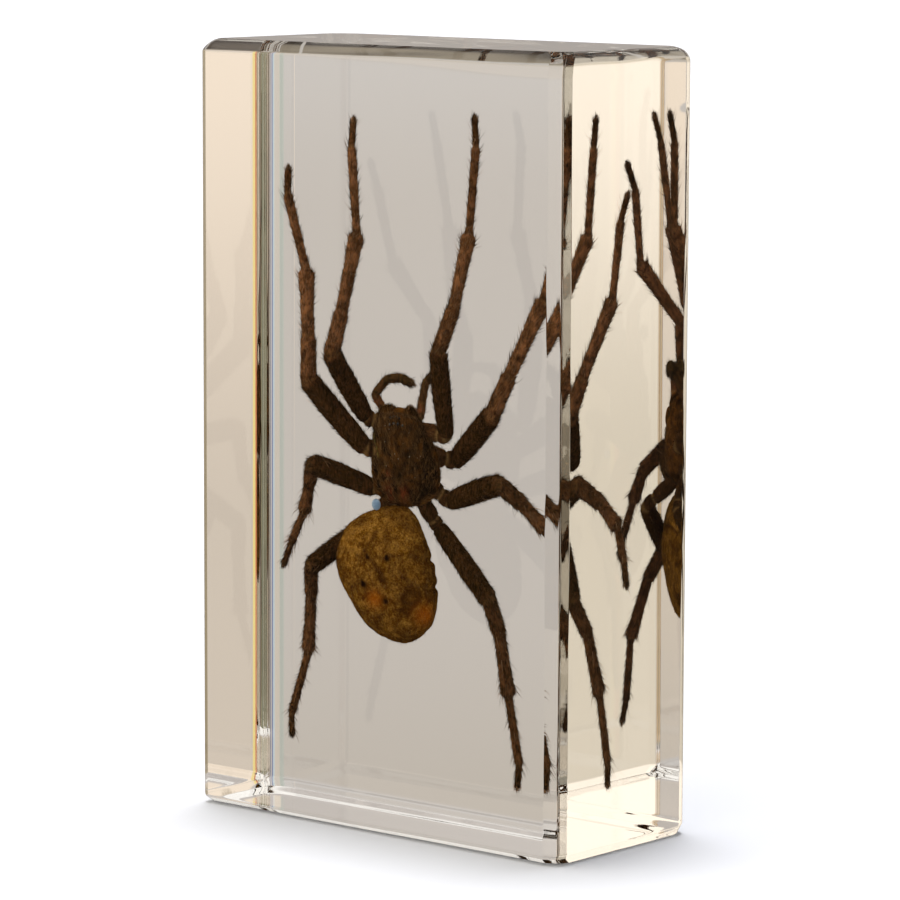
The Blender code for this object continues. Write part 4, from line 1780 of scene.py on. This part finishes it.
@dataclass
class Limbs:
    """The eight legs and the two palps, with the sizes and poses of the CAD part."""

    hip_side: float = 2.6
    hip_behind: float = 1.4
    hip_heights: Mapping[int, float] = field(default_factory=lambda: {1: 56.4, 2: 53.2, 3: 49.8, 4: 46.6})
    lengths: Mapping[int, tuple[float, ...]] = field(
        default_factory=lambda: {
            1: (12.5, 7.0, 11.6, 12.3, 4.3),
            2: (13.5, 6.0, 12.0, 11.3, 4.2),
            3: (11.0, 5.2, 5.0, 5.6, 3.8),
            4: (14.3, 5.6, 9.1, 10.0, 3.4),
        }
    )
    girths: Mapping[int, float] = field(default_factory=lambda: {1: 1.0, 2: 1.06, 3: 0.98, 4: 0.95})
    leg_profile: tuple = (
        (1.05, ((0.2, 1.5), (0.6, 1.6), (0.86, 1.5))),
        (1.22, ((0.3, 1.22), (0.7, 1.16))),
        (0.98, ((0.15, 0.95), (0.5, 1.0), (0.8, 1.12), (0.93, 1.22))),
        (0.8, ((0.1, 0.6), (0.5, 0.66), (0.9, 0.68))),
        (0.52, ((0.25, 0.52), (0.8, 0.5))),
    )
    leg_tones: tuple[float, ...] = (0.3, 0.12, 0.7, 0.85, 0.75, 0.25)
    pair_tones: Mapping[int, float] = field(default_factory=lambda: {1: 0.9, 2: 0.88, 3: 0.5, 4: 0.42})
    right_tone: float = 0.82
    palp_lengths: tuple[float, ...] = (2.2, 3.2, 2.3, 2.4)
    palp_profile: tuple = (
        (0.6, ((0.5, 0.66),)),
        (0.62, ((0.5, 0.6),)),
        (0.58, ((0.5, 0.64),)),
        (0.64, ((0.6, 0.66),)),
    )
    palp_root: Triple = (-1.0, -2.0, 56.5)
    leg_poses: Mapping[tuple[Side, int], tuple] = field(
        default_factory=lambda: {
            (Side.LEFT, 1): ((-6.5, -3.7, 57.6), ((-17, -40), (-1, 37), (5, 20), (-8, 7), (-4, 20))),
            (Side.LEFT, 2): ((-6.3, -4.4, 53.3), ((-41, -25), (-3, 4), (-23, 37), (-17, -3), (-9, 22))),
            (Side.LEFT, 3): ((-5.8, -1.9, 47.4), ((-73, -25), (-144, 44), (-159, 15), (-151, 5), (-155, 2))),
            (Side.LEFT, 4): ((-7.3, 2.4, 43.0), ((-132, -40), (-162, 33), (-168, 18), (-163, -4), (-175, 13))),
            (Side.RIGHT, 1): ((6.8, -0.7, 55.8), ((0, -16), (11, 30), (0, 31), (4, 3), (-8, 11))),
            (Side.RIGHT, 2): ((6.7, 3.1, 52.2), ((51, -27), (23, 14), (22, 19), (15, 0), (23, 9))),
            (Side.RIGHT, 3): ((6.5, 1.1, 46.6), ((71, -13), (137, 43), (135, 20), (150, -1), (149, -8))),
            (Side.RIGHT, 4): ((4.2, 1.9, 42.7), ((130, -13), (172, 30), (176, 15), (171, 6), (-173, 4))),
        }
    )
    palp_poses: Mapping[Side, tuple] = field(
        default_factory=lambda: {
            Side.LEFT: ((-4.3, -2.1, 59.1), ((-33, -18), (42, 9), (82, 15), (112, 12))),
            Side.RIGHT: ((2.2, -1.2, 58.0), ((-6, 30), (0, 25), (30, 50), (140, 20))),
        }
    )

    def hip(self, side: Side, pair: int) -> Triple:
        """Root of a leg: beside and behind the body's middle, turned with the body.

        Args:
            side: The leg's side.
            pair: Number of its pair, from the head.

        Returns:
            The root in the block's frame.
        """
        sideways = -self.hip_side if side is Side.LEFT else self.hip_side
        base = BodyFrame((0.0, -2.6, self.hip_heights[pair]))
        return tuple(base.place(np.array((sideways, self.hip_behind, 0.0))))

    def build(
        self, leg_finishes: Sequence[bpy.types.Material], palp_finishes: Sequence[bpy.types.Material]
    ) -> list[bpy.types.Object]:
        """Builds all limbs.

        Args:
            leg_finishes: Materials of the legs' skin and hairs.
            palp_finishes: Materials of the palps' skin and hairs.

        Returns:
            The objects.
        """
        made = []
        for number, ((side, pair), (start, headings)) in enumerate(self.leg_poses.items()):
            share = self.pair_tones[pair] * (self.right_tone if side is Side.RIGHT else 1.0)
            leg = Limb(
                node=f"leg_{side.value}_{pair}",
                slot="leg",
                root=self.hip(side, pair),
                start=start,
                lengths=self.lengths[pair],
                headings=headings,
                profile=self.leg_profile,
                root_radius=1.1,
                tip_radius=0.36,
                girth=self.girths[pair],
                tones=tuple(share * tone for tone in self.leg_tones),
                seed=number + 1,
            )
            made.append(leg.build(leg_finishes))
        for number, (side, (start, headings)) in enumerate(self.palp_poses.items()):
            palp = Limb(
                node=f"palp_{side.value}",
                slot="palp",
                root=self.palp_root,
                start=start,
                lengths=self.palp_lengths,
                headings=headings,
                profile=self.palp_profile,
                root_radius=0.55,
                tip_radius=0.4,
                girth=1.0,
                tones=(0.7, 0.6, 0.2, 0.12, 0.05),
                seed=20 + number,
                step=0.08,
                places=18,
                bow=0.0,
                hairs_per_mm=36.0,
                hair_length=(0.3, 0.7),
                spines=0,
                claws=False,
            )
            made.append(palp.build(palp_finishes))
        return made


# ---------------------------------------------------------------- stage, light and camera


@dataclass(frozen=True)
class Card:
    """A part of the surroundings that the resin shows: the directions it fills, and its colours by height.

    Azimuths are in degrees from the back towards the left, heights in degrees above the horizon. The colour
    goes from low to high over the heights of the change.
    """

    azimuths: tuple[float, float]
    heights: tuple[float, float]
    low: Colour
    high: Colour
    change: tuple[float, float] = (-10.0, -2.0)
    soft: float = 1.0


@dataclass(frozen=True)
class Studio:
    """Plain pale floor and soft light round it.

    Floor and background are white where they are seen directly. What the resin shows behind itself is cards:
    cream at both sides, grey behind the block as photographed, and dark and coloured ones that draw its
    ground edges. Later cards lie over earlier ones. What is matt is lit by a soft dome with a stronger side,
    and the floor by a soft sun too.
    """

    floor_half: float = 9000.0
    floor_at: float = -0.2
    floor_white: Colour = (0.495, 0.507, 0.55)
    cards: tuple[Card, ...] = (
        Card(ALL_ROUND, (-90, 90), (0.67, 0.58, 0.48), (0.98, 0.83, 0.67), (-9.0, -2.0)),
        Card((98, 180), (-90, 90), (0.8, 0.71, 0.57), (1.19, 1.06, 0.89), (-8.0, -2.5)),
        Card((98, 160), (4, 40), (1.36, 1.21, 1.02), (1.36, 1.21, 1.02)),
        Card((-180, -98), (-90, 90), (0.8, 0.71, 0.57), (1.12, 0.98, 0.81), (-8.0, -2.5)),
        Card((-3.6, 3.6), (-90, 90), (0.5, 0.455, 0.41), (0.6, 0.56, 0.53), (-14.0, -2.0), 0.3),
        Card((23, 37.08), (-90, 90), (0.582, 0.534, 0.486), (0.632, 0.598, 0.566), (-4.8, -1.8), 0.1),
        Card((37.52, 78), (-90, 90), (0.582, 0.534, 0.486), (0.632, 0.598, 0.566), (-4.8, -1.8), 0.1),
        Card((23, 78), (-20, -11.2), (0.54, 0.485, 0.42), (0.54, 0.485, 0.42)),
        Card((23, 78), (1, 12.9), (0.54, 0.495, 0.455), (0.54, 0.495, 0.455)),
        Card((-360, 96), (13, 90), (0.6, 0.55, 0.51), (1.1, 1.06, 1.0), (21.0, 28.0)),
        Card(ALL_ROUND, (-90, -24), (0.55, 0.51, 0.46), (0.55, 0.51, 0.46)),
        Card((-86, -70), (-20, 12), (0.2, 0.18, 0.12), (0.24, 0.21, 0.14)),
        Card((-132, -117), (-20, 12), (0.17, 0.13, 0.1), (0.22, 0.17, 0.13)),
        Card((-117, -108), (-20, 12), (0.26, 0.22, 0.12), (0.3, 0.25, 0.14)),
        Card((-108, -93.5), (-20, 12), (0.19, 0.195, 0.13), (0.23, 0.235, 0.16)),
        Card((155, 176), (-20, 12), (0.26, 0.21, 0.14), (0.42, 0.38, 0.3)),
        Card((-57.5, -48.4), (-20, 12), (0.94, 0.76, 0.3), (1.0, 0.8, 0.34), soft=0.4),
        Card((-70, -57.5), (-20, 12), (0.74, 0.25, 0.1), (0.78, 0.27, 0.12)),
        Card((-41.5, -17), (-20, 12), (0.36, 0.29, 0.18), (0.42, 0.35, 0.24)),
        Card((-9.5, -3.6), (-20, 12), (0.11, 0.12, 0.25), (0.14, 0.15, 0.28), soft=0.5),
        Card((3.6, 7.4), (-20, 12), (0.2, 0.23, 0.38), (0.24, 0.27, 0.42), soft=0.5),
        Card((7.4, 11.5), (-20, 12), (0.55, 0.64, 0.67), (0.6, 0.69, 0.71)),
        Card((11.5, 21), (-20, 12), (0.64, 0.57, 0.48), (0.68, 0.62, 0.54)),
        Card((21, 26), (-20, 12), (0.5, 0.51, 0.45), (0.54, 0.56, 0.5)),
        Card((48, 78), (-60, -21), (0.025, 0.015, 0.01), (0.3, 0.255, 0.19), (-42.0, -32.0)),
        Card((3.2, 41.5), (-60, -21), (0.03, 0.02, 0.012), (0.3, 0.255, 0.19), (-42.0, -32.0)),
        Card((-41.5, -3.2), (-60, -21), (0.04, 0.025, 0.016), (0.26, 0.22, 0.17), (-40.0, -30.0)),
        Card((-68, -48), (-60, -21), (0.035, 0.022, 0.016), (0.21, 0.175, 0.14), (-38.0, -31.0)),
        Card((139.5, 170), (-60, -21), (0.05, 0.035, 0.025), (0.52, 0.46, 0.37), (-36.0, -25.0)),
    )
    mirror_heights: tuple[float, float] = (-1.0, 3.0)
    mirror_top: tuple[float, float] = (25.0, 45.0)
    mirror_dark: Colour = (0.025, 0.023, 0.02)
    dome_high: Colour = (0.56, 0.56, 0.57)
    dome_low: Colour = (0.4, 0.39, 0.36)
    key_colour: Colour = (2.7, 2.55, 2.2)
    key_towards: Triple = (-0.42, -0.72, 0.55)
    sun_turn: tuple[float, float] = (-5.5, -4.0)
    sun_angle: float = 17.0
    sun_energy: float = 3.6

    def floor(self) -> None:
        """One large square just under the block, white to the camera and clear to the resin's rays."""
        ends = ((-1, -1), (1, -1), (1, 1), (-1, 1))
        corners = [(x * self.floor_half * MM, y * self.floor_half * MM, self.floor_at * MM) for x, y in ends]
        mesh = bpy.data.meshes.new("floor")
        mesh.from_pydata(corners, [], [(0, 1, 2, 3)])
        floor = new_object("floor", mesh)
        made, graph = new_material("floor_paper")
        direct = graph.node("ShaderNodeLightPath", {}, {}, "Is Camera Ray")
        fibre = graph.blend(graph.noise(2.0), self.floor_white, tuple(0.99 * c for c in self.floor_white))
        paper = graph.surface({"Roughness": 1.0, "Specular IOR Level": 0.0}, {"Base Color": fibre})
        clear = graph.node("ShaderNodeBsdfTransparent", {}, {})
        graph.finish(graph.node("ShaderNodeMixShader", {}, {0: direct, 1: clear, 2: paper}))
        mesh.materials.append(made)

    def sky(self) -> None:
        """World light, by the direction and the kind of the ray that it meets.

        A camera ray meets white, a ray from a matt surface the dome, and any other the cards. A mirrored ray
        meets them dimmed above the horizon, which keeps the block's faces clear.
        """
        world = bpy.data.worlds.new("studio")
        bpy.context.scene.world = world
        world.cycles.sampling_method = "NONE"
        graph = Graph(world)
        direction = graph.node("ShaderNodeTexCoord", {}, {}, "Generated")
        x, y, z = graph.parts(direction)
        azimuth, height = (0.0 - x).angle_from(y), z.arc()

        def within(angle: Term, span: tuple[float, float], soft: float) -> Term:
            """1 inside the span of an angle and 0 outside, with soft ends."""
            past_low, past_high = (angle.between(end - soft, end + soft) for end in span)
            return past_low * (1.0 - past_high)

        bands = {span: within(height, span, 2.0) for span in {card.heights: None for card in self.cards}}
        changes = {span: height.between(*span) for span in {card.change: None for card in self.cards}}
        picture: Any = (0.0, 0.0, 0.0)
        for card in self.cards:
            colour, share = card.low, bands[card.heights]
            if card.low != card.high:
                colour = graph.blend(changes[card.change], card.low, card.high)
            if card.azimuths != ALL_ROUND:
                share = within(azimuth, card.azimuths, card.soft) * share
            picture = graph.blend(share, picture, colour)
        mirrored = graph.node("ShaderNodeLightPath", {}, {}, "Is Reflection Ray")
        dimmed = 1.0 - height.between(*self.mirror_heights) * (1.0 - 0.8 * height.between(*self.mirror_top))
        picture = graph.blend(mirrored * dimmed, picture, self.mirror_dark)
        pair = {0: direction, 1: unit(np.array(self.key_towards))}
        towards = graph.node("ShaderNodeVectorMath", {"operation": "DOT_PRODUCT"}, pair, "Value")
        dome = graph.blend(z.between(-0.3, 0.3), self.dome_low, self.dome_high)
        dome = graph.blend(towards.between(0.1, 1.0) ** 2.0, dome, self.key_colour)
        matt = graph.node("ShaderNodeLightPath", {}, {}, "Diffuse Depth").between(0.2, 0.8)
        direct = graph.node("ShaderNodeLightPath", {}, {}, "Is Camera Ray")
        seen, lit, white = (
            graph.node("ShaderNodeBackground", {}, {"Color": colour, "Strength": 1.0})
            for colour in (picture, dome, (1.0, 1.0, 1.0, 1.0))
        )
        resin_or_matt = graph.node("ShaderNodeMixShader", {}, {0: matt, 1: seen, 2: lit})
        shown = graph.node("ShaderNodeMixShader", {}, {0: direct, 1: resin_or_matt, 2: white})
        graph.finish(shown, kind="ShaderNodeOutputWorld")

    def sun(self) -> None:
        """A soft sun nearly overhead, which draws the block's shadow and which the resin doesn't show."""
        light = bpy.data.lights.new("sun", "SUN")
        light.angle, light.energy = math.radians(self.sun_angle), self.sun_energy
        lamp = new_object("sun", light)
        lamp.rotation_euler = (math.radians(self.sun_turn[0]), math.radians(self.sun_turn[1]), 0.0)
        lamp.visible_camera = lamp.visible_transmission = lamp.visible_glossy = False

    def build(self) -> None:
        """Builds floor, sky and sun."""
        self.floor()
        self.sky()
        self.sun()


@dataclass(frozen=True)
class ViewPoint:
    """The camera at the photograph's viewing angle: its place, its direction in degrees and its lens."""

    place: Triple = (405.4, -478.1, 136.6)
    azimuth: float = 40.21
    elevation: float = 7.63
    roll: float = 0.22
    focal_pixels: float = 4483.0
    frame_pixels: float = 900.0
    sensor: float = 36.0

    def build(self) -> None:
        """Makes the camera and the scene's view settings.

        The camera's axes are worked out from its azimuth and elevation, and turned by its roll.
        """
        a, e, r = (math.radians(v) for v in (self.azimuth, self.elevation, self.roll))
        back = Vector((math.sin(a) * math.cos(e), -math.cos(a) * math.cos(e), math.sin(e)))
        right = Vector((math.cos(a), math.sin(a), 0.0))
        up = back.cross(right)
        turned_right = right * math.cos(r) + up * math.sin(r)
        turned_up = up * math.cos(r) - right * math.sin(r)
        data = bpy.data.cameras.new("camera")
        data.sensor_width = self.sensor
        data.lens = self.focal_pixels * self.sensor / self.frame_pixels
        data.clip_start, data.clip_end = 0.01, 50.0
        basis = Matrix((turned_right, turned_up, back)).transposed()
        scene = bpy.context.scene
        scene.camera = new_object("camera", data)
        scene.camera.matrix_world = Matrix.Translation(Vector(self.place) * MM) @ basis.to_4x4()
        scene.view_settings.view_transform, scene.view_settings.look = "Standard", "None"
        scene.cycles.max_bounces, scene.cycles.transmission_bounces = 24, 20
        scene.cycles.glossy_bounces, scene.cycles.diffuse_bounces = 12, 4


def main() -> None:
    """Builds the block, the spider, the stage and the camera."""
    logging.basicConfig(level=logging.INFO, format="%(name)s: %(message)s")
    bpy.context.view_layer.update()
    ViewPoint().build()
    Studio().build()
    dark_fur = Fur("dark_hairs", dark=(0.014, 0.008, 0.001), light=(0.66, 0.37, 0.2)).material()
    body_fur = Fur("body_hairs", dark=(0.009, 0.004, 0.0004), light=(0.52, 0.28, 0.11)).material()
    leg_skin = DryCuticle("leg_cuticle", dark=(0.028, 0.014, 0.002), warm=(0.36, 0.15, 0.06)).material()
    palp_skin = DryCuticle("palp_cuticle", dark=(0.07, 0.045, 0.014), warm=(0.34, 0.12, 0.045)).material()
    carapace = DryCuticle(
        "carapace_cuticle", dark=(0.015, 0.005, 0.0005), warm=(0.21, 0.082, 0.016), pale=(0.45, 0.4, 0.1)
    )
    ResinBlock().build(ClearResin().material())
    Bubble().build(PaintedBubbleReflection().material())
    Cephalothorax().build([carapace.material(), body_fur, EyeGloss().material(), PaleCrumb().material()])
    Abdomen().build([AbdomenSkin().material(), body_fur])
    Limbs().build([leg_skin, dark_fur], [palp_skin, dark_fur])


if __name__ == "__main__":
    main()
